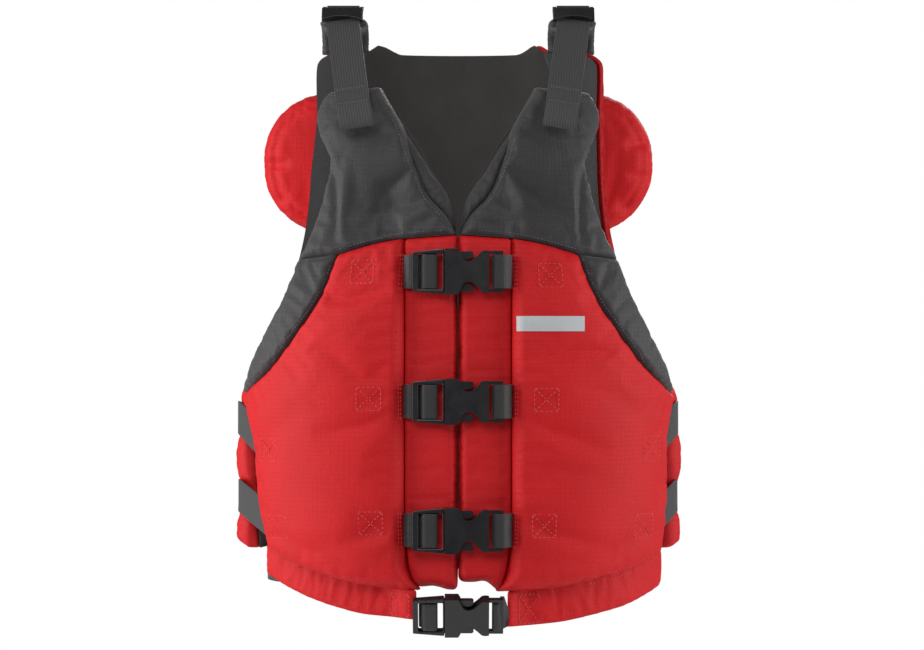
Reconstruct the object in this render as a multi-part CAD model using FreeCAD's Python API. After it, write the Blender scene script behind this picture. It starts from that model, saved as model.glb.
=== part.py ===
import FreeCAD, Part
import math
import os

# Life jacket with a buckled front, two padded shoulders and a fold-out head pillow.
# Frame: +X is the wearer's left, the wearer faces -Y, +Z is up. The origin is on the
# middle line of the torso, level with the lowest edge of the waist buckle.

V = FreeCAD.Vector
FRONT = -1.0
BACK = 1.0

# ---------------------------------------------------------------- driving sizes, mm

# Inside of the jacket: the torso that it wraps
CHEST_HALF_WIDTH = 236.0
CHEST_HALF_DEPTH = 126.0
BACK_HEIGHT = 680.0  # up to the neck edge of the back panel, which dips in the middle

# The pattern below is drawn for this size and graded to the sizes above
DRAWN_HALF_WIDTH = 236.0
DRAWN_HALF_DEPTH = 126.0
DRAWN_HEIGHT = 680.0
WIDE = CHEST_HALF_WIDTH / DRAWN_HALF_WIDTH
DEEP = CHEST_HALF_DEPTH / DRAWN_HALF_DEPTH
TALL = BACK_HEIGHT / DRAWN_HEIGHT

# Padded panels, from the torso outwards
LINER = 1.5
SKIN = 1.5
LAYER_GAP = 0.3
SEAM_GAP = 0.4
POUCH_MIDDLE = 42.0
POUCH_INNER = 33.0
POUCH_SIDE = 28.0
YOKE_THICK = 25.0
PLACKET_THICK = 21.0
BACK_THICK = 26.0
CENTRE_GAP = 3.0
PLACKET_WIDTH = 60.0

# Webbing
WEBBING = 38.0
WEBBING_THICK = 1.8
WAISTBAND_WIDTH = 33.0
WAISTBAND_THICK = 4.0
WAISTBAND_START = 64.0  # from the middle
WAISTBAND_END = 217.0

# Side-release buckles: x runs along the strap from the middle, y is the thickness
BUCKLE_HALF_LENGTH = 51.0
BUCKLE_HALF_WIDTH = 25.8
SOCKET_THICK = 13.0
FRAME_THICK = 8.0
BAR_THICK = 5.0
SLOT_CLEARANCE = 0.5
PRONG_CLEARANCE = 0.6
BUCKLE_STAND = 2.0  # from the placket to the back of the buckle
BUCKLE_HEIGHTS = [410.0, 264.0, 119.0]
BUCKLE_NAMES = ["top_buckle", "middle_buckle", "bottom_buckle"]
WAIST_BUCKLE_HEIGHT = 22.4
WAIST_BUCKLE_TILT = 30.0
WAIST_BUCKLE_DEPTH = 141.0

# Ladder locks
LOCK_LENGTH = 35.0
LOCK_THICK = 6.0
LOCK_RAIL = 4.5
LOCK_BAR_RADIUS = 2.4
LOOP_CLEARANCE = 0.5
SHOULDER_LOCK_TILT = 25.0
SHOULDER_LOCK_DEPTH = 4.0
SHOULDER_LOCK_HEIGHT = 721.0

# Shoulders
SHOULDER_FROM_CENTRE = 135.0
SHOULDER_PAD_WIDTH = 60.0
SHOULDER_PAD_THICK = 12.0
STRAP_LEAN = 8.6  # degrees, towards the neck on the way down
TAIL_LENGTH = 150.0

# Head pillow
PILLOW_HALF_WIDTH = 243.0
PILLOW_BOTTOM = 461.0
PILLOW_TOP = 640.0
PILLOW_THICK = 60.0
PILLOW_CORNER = 84.0
PILLOW_EDGE = 22.0
PILLOW_STAND = 8.0  # from the back panel

# Side straps: heights of the middle of each, at its front end and at its back end
SIDE_STRAP_HEIGHTS = [(216.0, 240.0), (124.0, 148.0)]
SIDE_GAP = 2.0  # between the front and the back half of each strap
TAB_STAND = 9.0  # from where the side edge of the pouch reaches furthest past the strap

SECTION_POINTS = 11

# ------------------------------------------------------------------ the torso form

# (height, half width, half depth in front, half depth behind), as drawn
TORSO_LEVELS = [
    (0.0, 228.0, 122.0, 122.0),
    (60.0, 229.0, 123.0, 123.0),
    (100.0, 234.0, 124.0, 125.0),
    (268.0, 236.0, 126.0, 126.0),
    (420.0, 225.0, 124.0, 118.0),
    (520.0, 205.0, 112.0, 110.0),
    (614.0, 190.0, 88.0, 95.0),
    (700.0, 180.0, 60.0, 74.0),
]


def between(table, height, column):
    """Reads a column of a table of drawn heights, in straight steps."""
    drawn = height / TALL
    if drawn <= table[0][0]:
        return table[0][column]
    for low, high in zip(table, table[1:]):
        if drawn <= high[0]:
            share = (drawn - low[0]) / (high[0] - low[0])
            return low[column] + share * (high[column] - low[column])
    return table[-1][column]


def torso(height, side):
    """Half width and half depth of the torso at a height, in front or behind."""
    column = 2 if side == FRONT else 3
    return WIDE * between(TORSO_LEVELS, height, 1), DEEP * between(TORSO_LEVELS, height, column)


def surface_point(angle, height, side, offset):
    """A point so far outside the torso, at an angle from the middle plane."""
    half_width, half_depth = torso(height, side)
    x = (half_width + offset) * math.sin(angle)
    y = side * (half_depth + offset) * math.cos(angle)
    return V(x, y, height)


def angle_at(x, height, side, offset):
    half_width = torso(height, side)[0] + offset
    return math.asin(max(-1.0, min(1.0, x / half_width)))


# ------------------------------------------------------------------- shape helpers


def line(start, end):
    return Part.LineSegment(start, end).toShape()


def curve(points):
    """A straight edge through two points, or a smooth one through more."""
    if len(points) == 2:
        return line(points[0], points[1])
    spline = Part.BSplineCurve()
    spline.interpolate(points)
    return spline.toShape()


def wall(levels, side, first, last, inner, outer):
    """A panel of wall round the torso: first and last give its end angles at each
    height, inner and outer its offsets at a share of its width."""
    wires = []
    for level in levels:
        start = first(level)
        end = last(level)
        shares = [step / (SECTION_POINTS - 1.0) for step in range(SECTION_POINTS)]
        angles = [start + (end - start) * share for share in shares]
        outside = []
        inside = []
        for share, angle in zip(shares, angles):
            outside.append(surface_point(angle, level, side, outer(share, level)))
            inside.insert(0, surface_point(angle, level, side, inner(share, level)))
        edges = [
            curve(outside),
            line(outside[-1], inside[0]),
            curve(inside),
            line(inside[-1], outside[0]),
        ]
        wires.append(Part.Wire(edges))
    return Part.makeLoft(wires, True, True)


def inset(segments, distance):
    """Moves a closed outline inwards; each segment shares its end with the next."""
    points = [point for segment in segments for point in segment[:-1]]
    count = len(points)
    area = sum(
        points[i][0] * points[(i + 1) % count][1] - points[(i + 1) % count][0] * points[i][1]
        for i in range(count)
    )
    turn = 1.0 if area > 0 else -1.0
    moved = []
    for i in range(count):
        before = V(points[i][0] - points[i - 1][0], 0, points[i][1] - points[i - 1][1])
        after_point = points[(i + 1) % count]
        after = V(after_point[0] - points[i][0], 0, after_point[1] - points[i][1])
        before.normalize()
        after.normalize()
        normal = V(-(before.z + after.z) * turn, 0, (before.x + after.x) * turn)
        normal.normalize()
        half_turn = abs(normal.x * -before.z * turn + normal.z * before.x * turn)
        reach = distance / max(half_turn, 0.5)
        moved.append((points[i][0] + normal.x * reach, points[i][1] + normal.z * reach))
    result = []
    place = 0
    for segment in segments:
        size = len(segment) - 1
        result.append([moved[(place + step) % count] for step in range(size + 1)])
        place += size
    return result


def outline_prism(segments, low_y, high_y):
    """Everything inside an outline drawn on the X-Z plane, between two depths."""
    edges = [curve([V(x, low_y, z) for x, z in segment]) for segment in segments]
    return Part.Face(Part.Wire(edges)).extrude(V(0, high_y - low_y, 0))


def graded(points):
    return [(x * WIDE, z * TALL) for x, z in points]


def band(centres, width, thickness):
    """A flat band on edge that follows a line round the torso."""
    wires = []
    last = len(centres) - 1
    for i, centre in enumerate(centres):
        along = centres[min(i + 1, last)] - centres[max(i - 1, 0)]
        out = V(along.y, -along.x, 0)
        out.normalize()
        out = out * (thickness / 2.0)
        rise = V(0, 0, width / 2.0)
        corners = [centre - out - rise, centre + out - rise, centre + out + rise, centre - out + rise]
        wires.append(Part.makePolygon(corners + corners[:1]))
    return Part.makeLoft(wires, True, True)


def strap_profile(points, radius, thickness):
    """A face in the X-Y plane for a strap on edge: straight runs and tangent arcs."""
    joints = []
    for before, here, after in zip(points, points[1:], points[2:]):
        incoming = V(here[0] - before[0], here[1] - before[1], 0).normalize()
        outgoing = V(after[0] - here[0], after[1] - here[1], 0).normalize()
        cross = incoming.x * outgoing.y - incoming.y * outgoing.x
        turn = math.atan2(cross, incoming.dot(outgoing))
        joints.append((V(here[0], here[1], 0), incoming, outgoing, turn))
    sides = []
    for offset in (thickness / 2.0, -thickness / 2.0):
        first_run = V(points[1][0] - points[0][0], points[1][1] - points[0][1], 0).normalize()
        cursor = V(points[0][0] - first_run.y * offset, points[0][1] + first_run.x * offset, 0)
        start = cursor
        edges = []
        for here, incoming, outgoing, turn in joints:
            sign = 1.0 if turn > 0 else -1.0
            reach = radius * math.tan(abs(turn) / 2.0)
            left_in = V(-incoming.y, incoming.x, 0)
            left_out = V(-outgoing.y, outgoing.x, 0)
            arc_start = here - incoming * reach + left_in * offset
            arc_end = here + outgoing * reach + left_out * offset
            centre = here - incoming * reach + left_in * (radius * sign)
            middle = centre + (here - centre).normalize() * (radius - sign * offset)
            edges.append(line(cursor, arc_start))
            edges.append(Part.Arc(arc_start, middle, arc_end).toShape())
            cursor = arc_end
        last_run = V(points[-1][0] - points[-2][0], points[-1][1] - points[-2][1], 0).normalize()
        end = V(points[-1][0] - last_run.y * offset, points[-1][1] + last_run.x * offset, 0)
        edges.append(line(cursor, end))
        sides.append((edges, start, end))
    left, right = sides
    edges = left[0] + right[0] + [line(left[1], right[1]), line(left[2], right[2])]
    return Part.Face(Part.Wire(Part.__sortEdges__(edges)))


def strap(points, radius, thickness, width):
    """A strap whose profile is in the X-Y plane and whose width is along Z."""
    solid = strap_profile(points, radius, thickness).extrude(V(0, 0, width))
    solid.translate(V(0, 0, -width / 2.0))
    return solid


def box(low, high):
    return Part.makeBox(high[0] - low[0], high[1] - low[1], high[2] - low[2], V(*low))


def plate(points, thickness):
    """A flat plate with an outline on the X-Z plane, centred on its thickness."""
    corners = [V(x, -thickness / 2.0, z) for x, z in points]
    face = Part.Face(Part.makePolygon(corners + corners[:1]))
    return face.extrude(V(0, thickness, 0))


def mirrored(shape):
    return shape.mirror(V(0, 0, 0), V(1, 0, 0))


def turned(shape, centre, axis, degrees):
    copy = shape.copy()
    copy.rotate(centre, axis, degrees)
    return copy


def moved(shape, offset):
    copy = shape.copy()
    copy.translate(offset)
    return copy


# ------------------------------------------------------------- front panel pattern

FRONT_LEVELS = [40.0, 72.0, 120.0, 190.0, 268.0, 340.0, 395.0, 440.0, 490.0, 540.0, 580.0, 620.0]
SIDE_EDGE = [(40.0, 214.0), (88.0, 222.0), (145.0, 232.0), (225.0, 240.0), (268.0, 253.0)]
BEYOND = 300.0
BOTTOM_MIDDLE = (48.0, 54.0)
BOTTOM_SIDE = (225.0, 88.0)
SEAM_HEIGHT = 452.0
YOKE_TOP = 614.0

POUCH_INNER_EDGE = [BOTTOM_MIDDLE, (56.0, 72.0), (PLACKET_WIDTH / WIDE + 1.0, 110.0)]
NECK_EDGE = [(4.0, 473.0), (12.0, 500.0), (29.0, 522.0), (53.0, 560.0), (93.0, 610.0)]
ARMHOLE_TOP = [(156.0, 606.0), (160.0, 585.0), (158.0, 570.0)]
ARMHOLE_NOTCH = [(158.0, 570.0), (146.0, 540.0), (154.0, 500.0), (172.0, 455.0)]
ARMHOLE_LOW = [(172.0, 455.0), (184.0, 424.0), (198.0, 379.0), (237.0, 309.0), (254.0, 268.0)]
YOKE_SEAM = [(2.0, SEAM_HEIGHT), (70.0, 447.0), (135.0, 430.0)]
PANEL_TOP_SEAM = [(135.0, 430.0), (190.0, 419.0)]
PANEL_INNER_SEAM = [(135.0, 430.0), (154.0, 373.0), (203.0, 305.0), (254.0, 266.0)]


def bottom_line(x):
    """Height of the lower edge of the pouches at a distance from the middle."""
    near, far = BOTTOM_MIDDLE, BOTTOM_SIDE
    share = max(0.0, (x / WIDE - near[0]) / (far[0] - near[0]))
    return TALL * (near[1] + share * (far[1] - near[1]))


def puff(share, height):
    """Thickness of the pouch and yoke at a share of the width and a height."""
    crown = 0.45
    if share < crown:
        across = POUCH_MIDDLE - (POUCH_MIDDLE - POUCH_INNER) * ((crown - share) / crown) ** 2
    else:
        across = POUCH_MIDDLE - (POUCH_MIDDLE - POUCH_SIDE) * ((share - crown) / (1.0 - crown)) ** 2
    drawn = height / TALL
    fade = max(0.0, min(1.0, (drawn - 340.0) / 150.0))
    fade = max(fade, 0.5 * max(0.0, (120.0 - drawn) / 80.0))
    return across + (YOKE_THICK - across) * fade


def side_angle(height):
    """Angle of the side edge of a front panel."""
    drawn = min(height, 268.0 * TALL)
    x = WIDE * between(SIDE_EDGE, drawn, 1)
    return angle_at(x, drawn, FRONT, POUCH_SIDE)


def main_outline():
    """The pouch, yoke and armhole panel of the left front, as one outline."""
    placket_edge = PLACKET_WIDTH / WIDE + 1.0
    segments = [
        [(placket_edge, SEAM_HEIGHT), (2.0, SEAM_HEIGHT)],
        [(2.0, SEAM_HEIGHT), NECK_EDGE[0]],
        NECK_EDGE,
        [NECK_EDGE[-1], (98.0, YOKE_TOP)],
        [(98.0, YOKE_TOP), (150.0, YOKE_TOP)],
        [(150.0, YOKE_TOP), ARMHOLE_TOP[0]],
        ARMHOLE_TOP,
        ARMHOLE_NOTCH,
        ARMHOLE_LOW,
        [ARMHOLE_LOW[-1], (BEYOND, 268.0)],
        [(BEYOND, 268.0), (BEYOND, 102.4)],
        [(BEYOND, 102.4), BOTTOM_MIDDLE],
        POUCH_INNER_EDGE,
        [POUCH_INNER_EDGE[-1], (placket_edge, SEAM_HEIGHT)],
    ]
    return [graded(segment) for segment in segments]


def placket_outline():
    edge = PLACKET_WIDTH / WIDE + 1.0
    gap = SEAM_GAP / WIDE
    inner = CENTRE_GAP / 2.0 / WIDE
    top = SEAM_HEIGHT - SEAM_GAP
    segments = [
        [(inner, top), (inner, 62.0)],
        [(inner, 62.0), (20.0, 50.0), (47.0 - gap, 53.0)],
        [(47.0 - gap, 53.0), (55.0 - gap, 72.0), (edge - gap, 110.0)],
        [(edge - gap, 110.0), (edge - gap, top)],
        [(edge - gap, top), (inner, top)],
    ]
    return [graded(segment) for segment in segments]


def pouch_region():
    segments = [
        [(-10.0, SEAM_HEIGHT), YOKE_SEAM[0]],
        YOKE_SEAM,
        PANEL_INNER_SEAM,
        [PANEL_INNER_SEAM[-1], (BEYOND + 20.0, 266.0)],
        [(BEYOND + 20.0, 266.0), (BEYOND + 20.0, -40.0)],
        [(BEYOND + 20.0, -40.0), (-10.0, -40.0)],
        [(-10.0, -40.0), (-10.0, SEAM_HEIGHT)],
    ]
    return [graded(segment) for segment in segments]


def armhole_region():
    segments = [
        PANEL_INNER_SEAM,
        [PANEL_INNER_SEAM[-1], (BEYOND + 20.0, 266.0)],
        [(BEYOND + 20.0, 266.0), (BEYOND + 20.0, 419.0)],
        [(BEYOND + 20.0, 419.0), PANEL_TOP_SEAM[-1]],
        PANEL_TOP_SEAM[::-1],
    ]
    return [graded(segment) for segment in segments]


def front_blank(inner, outer, pull):
    """Blank wall of the left front; pull brings its side edge in."""
    levels = [level * TALL for level in FRONT_LEVELS]

    def end(level):
        return side_angle(level) - pull / torso(level, FRONT)[0]

    return wall(levels, FRONT, lambda level: 0.0, end, inner, outer)


def front_panels():
    """The left front: pouch, yoke, armhole panel, placket, liner and foam."""
    main = main_outline()
    placket = placket_outline()
    whole = outline_prism(main, -400.0, 0.0)
    strip = outline_prism(placket, -400.0, 0.0)

    block = front_blank(lambda s, z: LINER + LAYER_GAP, puff, 0.0).common(whole)
    hollow = front_blank(lambda s, z: 0.0, lambda s, z: puff(s, z) - SKIN, SKIN)
    hollow = hollow.common(outline_prism(inset(main, SKIN), -400.0, 0.0))
    shell = block.cut(hollow)
    pouch_prism = outline_prism(pouch_region(), -400.0, 0.0)
    armhole_prism = outline_prism(armhole_region(), -400.0, 0.0)
    pouch = shell.common(pouch_prism)
    armhole = shell.common(armhole_prism)
    yoke = shell.cut(pouch_prism).cut(armhole_prism)

    flat = front_blank(lambda s, z: LINER + LAYER_GAP, lambda s, z: PLACKET_THICK, 0.0)
    flat_hollow = front_blank(lambda s, z: 0.0, lambda s, z: PLACKET_THICK - SKIN, 0.0)
    flat_hollow = flat_hollow.common(outline_prism(inset(placket, SKIN), -400.0, 0.0))
    placket_shell = flat.common(strip).cut(flat_hollow)

    lining = front_blank(lambda s, z: 0.0, lambda s, z: LINER, 0.0)
    liner = Part.makeCompound([lining.common(whole), lining.common(strip)])

    room = SKIN + LAYER_GAP
    core = front_blank(lambda s, z: LINER + LAYER_GAP, lambda s, z: puff(s, z) - room, room)
    core = core.common(outline_prism(inset(main, room), -400.0, 0.0))
    thin = front_blank(lambda s, z: LINER + LAYER_GAP, lambda s, z: PLACKET_THICK - room, 0.0)
    thin = thin.common(outline_prism(inset(placket, room), -400.0, 0.0))
    foam = Part.makeCompound([core, thin])
    return {
        "pouch": pouch,
        "yoke": yoke,
        "armhole_panel": armhole,
        "placket": placket_shell,
        "liner": liner,
        "foam": foam,
    }


def waistband():
    """The left half of the waistband, in front."""
    centres = []
    steps = 7
    for step in range(steps):
        x = WIDE * (WAISTBAND_START + (WAISTBAND_END - WAISTBAND_START) * step / (steps - 1.0))
        height = bottom_line(x) - 1.0 - WAISTBAND_WIDTH / 2.0
        angle = angle_at(x, height, FRONT, LINER + WAISTBAND_THICK)
        centres.append(surface_point(angle, height, FRONT, LINER + WAISTBAND_THICK))
    return band(centres, WAISTBAND_WIDTH, WAISTBAND_THICK)


def reflective_mark():
    """A plain reflective bar on the left pouch."""
    lift = 0.3
    thickness = 0.8
    low = 343.0 * TALL
    high = 360.0 * TALL

    def at(x):
        def angle(level):
            return angle_at(x * WIDE, level, FRONT, POUCH_MIDDLE)
        return angle

    def share(own, level):
        start = at(69.0)(level)
        end = at(142.0)(level)
        return (start + (end - start) * own) / side_angle(level)

    def inner(own, level):
        return puff(share(own, level), level) + lift

    def outer(own, level):
        return puff(share(own, level), level) + lift + thickness

    return wall([low, high], FRONT, at(69.0), at(142.0), inner, outer)


# --------------------------------------------------------------------- back panel

BACK_LEVELS = [80.0, 120.0, 190.0, 268.0, 340.0, 420.0, 480.0, 520.0, 570.0, 614.0, 660.0, 700.0]
BACK_BOTTOM = 88.0
BACK_ARMHOLE = [(262.0, 268.0), (215.0, 350.0), (190.0, 430.0), (178.0, 500.0), (173.0, 600.0)]
BACK_SHOULDER_TOP = 672.0
BACK_SHOULDER = [(173.0, 600.0), (173.0, BACK_SHOULDER_TOP)]
BACK_NECK = [(98.0, 686.0), (60.0, 676.0), (-60.0, 676.0), (-98.0, 686.0)]
BACK_END = math.radians(88.0)


def back_outline():
    def flipped(points):
        return [(-x, z) for x, z in points[::-1]]

    segments = [
        [(-BEYOND, BACK_BOTTOM), (BEYOND, BACK_BOTTOM)],
        [(BEYOND, BACK_BOTTOM), (BEYOND, 268.0)],
        [(BEYOND, 268.0), BACK_ARMHOLE[0]],
        BACK_ARMHOLE,
        BACK_SHOULDER,
        [BACK_SHOULDER[-1], (103.0, BACK_SHOULDER_TOP)],
        [(103.0, BACK_SHOULDER_TOP), BACK_NECK[0]],
        BACK_NECK,
        [BACK_NECK[-1], (-103.0, BACK_SHOULDER_TOP)],
        [(-103.0, BACK_SHOULDER_TOP), (-173.0, BACK_SHOULDER_TOP)],
        flipped(BACK_SHOULDER),
        flipped(BACK_ARMHOLE),
        [(-262.0, 268.0), (-BEYOND, 268.0)],
        [(-BEYOND, 268.0), (-BEYOND, BACK_BOTTOM)],
    ]
    return [graded(segment) for segment in segments]


def back_blank(inner, outer, pull):
    levels = [level * TALL for level in BACK_LEVELS]

    def end(level):
        return BACK_END - pull / torso(level, BACK)[0]

    def start(level):
        return -end(level)

    return wall(levels, BACK, start, end, lambda s, z: inner, lambda s, z: outer)


def back_panels():
    outline = back_outline()
    whole = outline_prism(outline, -5.0, 400.0)
    block = back_blank(LINER + LAYER_GAP, BACK_THICK, 0.0).common(whole)
    hollow = back_blank(0.0, BACK_THICK - SKIN, SKIN)
    hollow = hollow.common(outline_prism(inset(outline, SKIN), -5.0, 400.0))
    liner = back_blank(0.0, LINER, 0.0).common(whole)
    room = SKIN + LAYER_GAP
    foam = back_blank(LINER + LAYER_GAP, BACK_THICK - room, room)
    foam = foam.common(outline_prism(inset(outline, room), -5.0, 400.0))
    return {"shell": block.cut(hollow), "liner": liner, "foam": foam}


BELT_HALF_WIDTH = 222.0
BELT_HALF_DEPTH = 128.0
BELT_START = 20.0  # degrees forward of the widest point


def waist_belt():
    """Webbing round the sides and the back, level with the ends of the waistband."""
    low = bottom_line(WAISTBAND_END * WIDE) - 1.0 - WAISTBAND_WIDTH
    start = math.radians(-BELT_START)
    rows = []
    for offset in (0.0, WEBBING_THICK):
        row = []
        for step in range(SECTION_POINTS):
            angle = start + (math.pi - 2.0 * start) * step / (SECTION_POINTS - 1.0)
            x = (BELT_HALF_WIDTH * WIDE + offset) * math.cos(angle)
            y = (BELT_HALF_DEPTH * DEEP + offset) * math.sin(angle)
            row.append(V(x, y, low))
        rows.append(row)
    inside, outside = rows
    ends = [line(inside[0], outside[0]), line(outside[-1], inside[-1])]
    wire = Part.Wire(Part.__sortEdges__([curve(inside), curve(outside)] + ends))
    return Part.Face(wire).extrude(V(0, 0, WAISTBAND_WIDTH))


# ---------------------------------------------------------------------- side straps


def side_webbing(front_height, back_height):
    """One left side strap: the tab on the front panel, and the run on the back."""
    low = front_height * TALL
    high = back_height * TALL
    reach = max(side_angle(low + half) for half in (-WEBBING / 2.0, 0.0, WEBBING / 2.0))
    edge = surface_point(reach, low, FRONT, POUCH_SIDE / 2.0)
    back_edge = surface_point(BACK_END, high, BACK, BACK_THICK + 2.0 * WEBBING_THICK)
    tab_start = edge + (back_edge - edge).normalize() * TAB_STAND
    split_y = surface_point(side_angle(low), low, FRONT, 0.0).y + 16.0 * DEEP
    share = (split_y - tab_start.y) / (back_edge.y - tab_start.y)
    split = tab_start + (back_edge - tab_start) * share
    tab_end = split - (back_edge - tab_start).normalize() * (SIDE_GAP / 2.0)
    run_start = split + (back_edge - tab_start).normalize() * (SIDE_GAP / 2.0)
    tab = band([tab_end, tab_start], WEBBING, WEBBING_THICK)
    run = [run_start, back_edge]
    steps = 6
    for step in range(1, steps + 1):
        angle = BACK_END - math.radians(50.0) * step / steps
        run.append(surface_point(angle, high, BACK, BACK_THICK + 2.0 * WEBBING_THICK))
    return tab, band(run[::-1], WEBBING, WEBBING_THICK)


def ladder_lock():
    """A ladder lock on the X-Y plane: its hinge bar is along X at the origin, and it
    reaches towards -Y. Its top is a shallow curved thumb lip."""
    inner = WEBBING / 2.0 + SLOT_CLEARANCE
    half = inner + LOCK_RAIL
    reach = LOCK_LENGTH
    thick = LOCK_THICK
    rails = []
    for sign in (-1.0, 1.0):
        low = min(sign * inner, sign * half)
        high = max(sign * inner, sign * half)
        rails.append(box((low, -reach, -thick / 2.0), (high, 2.0, thick / 2.0)))
    hinge_bar = Part.makeCylinder(LOCK_BAR_RADIUS, 2.0 * inner + 2.0, V(-inner - 1.0, 0, 0), V(1, 0, 0))
    middle = box((-inner - 1.0, -0.62 * reach, -thick / 2.0), (inner + 1.0, -0.40 * reach, thick / 2.0))
    lip = box((-inner - 1.0, -reach, -thick / 2.0), (inner + 1.0, -reach + 6.0, thick / 2.0 + 2.0))
    solid = rails[0].fuse([rails[1], hinge_bar, middle, lip])
    return solid.removeSplitter()


def shoulder_lock():
    lock = turned(ladder_lock(), V(0, 0, 0), V(1, 0, 0), SHOULDER_LOCK_TILT)
    return moved(lock, shoulder_hinge())


def shoulder_hinge():
    return V(SHOULDER_FROM_CENTRE * WIDE, SHOULDER_LOCK_DEPTH * DEEP, SHOULDER_LOCK_HEIGHT * TALL)


def lock_front():
    """The middle of the free end of the shoulder lock."""
    tilt = math.radians(SHOULDER_LOCK_TILT)
    return shoulder_hinge() + V(0, -LOCK_LENGTH * math.cos(tilt), -LOCK_LENGTH * math.sin(tilt))


def upright_strap(points, radius, width, pivot):
    """A strap in a Y-Z plane given by (y, z) points, leaning about its pivot."""
    solid = strap([(y, z) for y, z in points], radius, WEBBING_THICK, width)
    solid.rotate(V(0, 0, 0), V(1, 1, 1), 120.0)
    solid.translate(V(pivot.x, 0, 0))
    return turned(solid, V(pivot.x, 0, pivot.z), V(0, 1, 0), STRAP_LEAN)


def yoke_top_depth():
    """Middle of the yoke's thickness at its top edge, under the strap."""
    x = SHOULDER_FROM_CENTRE * WIDE - 16.0
    top = YOKE_TOP * TALL
    inner = surface_point(angle_at(x, top, FRONT, 0.0), top, FRONT, 0.0)
    outer = surface_point(angle_at(x, top, FRONT, YOKE_THICK), top, FRONT, YOKE_THICK)
    return (inner.y + outer.y) / 2.0


def shoulder_strap():
    """Webbing from the top of the yoke up to the shoulder lock."""
    end = lock_front()
    top = (end.y + 1.0, end.z - 8.0)
    dip = WEBBING / 2.0 * math.sin(math.radians(STRAP_LEAN))
    bottom = (yoke_top_depth(), YOKE_TOP * TALL + 1.5 + dip)
    bend = (bottom[0] - 2.0, bottom[1] + 12.0)
    return upright_strap([bottom, bend, top], 20.0, WEBBING, end)


def tail_points():
    end = lock_front()
    start = (end.y - 5.5, end.z - 3.0)
    low = YOKE_TOP * TALL
    face = yoke_top_depth() - YOKE_THICK / 2.0
    knee = (face - 6.0, low + 4.0)
    hang = (face - 30.0, low - 24.0)
    tip = (face - 30.0, end.z + 1.5 - TAIL_LENGTH + 16.0)
    return [start, knee, hang, tip]


def strap_tail():
    """The free end of the shoulder strap, with its folded tip."""
    points = tail_points()
    tail = upright_strap(points, 12.0, WEBBING, lock_front())
    tip = points[-1]
    fold = [(tip[0] - WEBBING_THICK - 0.1, tip[1] + 26.0), (tip[0] - WEBBING_THICK - 0.1, tip[1])]
    folded = upright_strap(fold, 1.0, WEBBING, lock_front())
    return Part.makeCompound([tail, folded])


def shoulder_pad():
    """Padded strip from the top of the back panel over the shoulder."""
    top = BACK_SHOULDER_TOP * TALL
    angle = angle_at(SHOULDER_FROM_CENTRE * WIDE, top, BACK, BACK_THICK / 2.0)
    start = surface_point(angle, top, BACK, BACK_THICK / 2.0)
    foot = (start.y, top + SEAM_GAP)
    hinge = shoulder_hinge()
    high = hinge.z - 15.0
    points = [foot, (foot[0], high - 8.0), (hinge.y + 34.0, high), (hinge.y + 4.0, high)]
    solid = strap(points, 14.0, SHOULDER_PAD_THICK, SHOULDER_PAD_WIDTH)
    solid.rotate(V(0, 0, 0), V(1, 1, 1), 120.0)
    solid.translate(V(hinge.x, 0, 0))
    return solid


def anchor_loop():
    """Webbing from the shoulder pad round the hinge bar of the shoulder lock."""
    hinge = shoulder_hinge()
    inner = LOCK_BAR_RADIUS + LOOP_CLEARANCE
    outer = inner + WEBBING_THICK
    length = 28.0
    ring = Part.makeCylinder(outer, WEBBING, V(-WEBBING / 2.0, 0, 0), V(1, 0, 0))
    ring = ring.fuse(box((-WEBBING / 2.0, 0, -outer), (WEBBING / 2.0, length, outer)))
    hole = Part.makeCylinder(inner, WEBBING + 2.0, V(-WEBBING / 2.0 - 1.0, 0, 0), V(1, 0, 0))
    hole = hole.fuse(box((-WEBBING / 2.0 - 1.0, 0, -inner), (WEBBING / 2.0 + 1.0, length + 1.0, inner)))
    return moved(ring.cut(hole), hinge)


# ----------------------------------------------------------------------- the buckles


def tongue():
    """Frame half of a side-release buckle, with its crossbar and centre guide."""
    inner = WEBBING / 2.0 + SLOT_CLEARANCE
    length = BUCKLE_HALF_LENGTH
    outline = [(-length, -22.2), (-15.5, -25.5), (-15.5, 25.5), (-length, 22.2)]
    frame = plate(outline, FRAME_THICK)
    for low, high in ((-45.0, -36.5), (-25.5, -17.0)):
        frame = frame.cut(box((low, -10, -inner), (high, 10, inner)))
    thin = (FRAME_THICK - BAR_THICK) / 2.0 + 0.001
    for face in (-1.0, 1.0):
        low = min(face * BAR_THICK / 2.0, face * (BAR_THICK / 2.0 + thin))
        high = max(face * BAR_THICK / 2.0, face * (BAR_THICK / 2.0 + thin))
        frame = frame.cut(box((-36.55, low, -inner), (-25.45, high, inner)))
    crossbar = box((-17.0, -BAR_THICK / 2.0, -22.0), (-9.0, BAR_THICK / 2.0, 22.0))
    guide = box((-9.5, -BAR_THICK / 2.0, -4.5), (14.0, BAR_THICK / 2.0, 4.5))
    return frame.fuse([crossbar, guide]).removeSplitter()


PRONG_ROOT = (-6.4, 16.0)


def prong():
    """The upper prong: it turns about its root, on the crossbar."""
    knuckle = Part.makeCylinder(2.3, BAR_THICK, V(PRONG_ROOT[0], -BAR_THICK / 2.0, PRONG_ROOT[1]), V(0, 1, 0))
    outline = [
        (-6.4, 13.7), (11.0, 13.7), (15.0, 15.0), (17.5, 18.0), (17.5, 21.0),
        (15.5, 22.6), (4.0, 22.6), (0.0, 21.4), (-6.4, 18.3),
    ]
    return knuckle.fuse(plate(outline, BAR_THICK)).removeSplitter()


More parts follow.
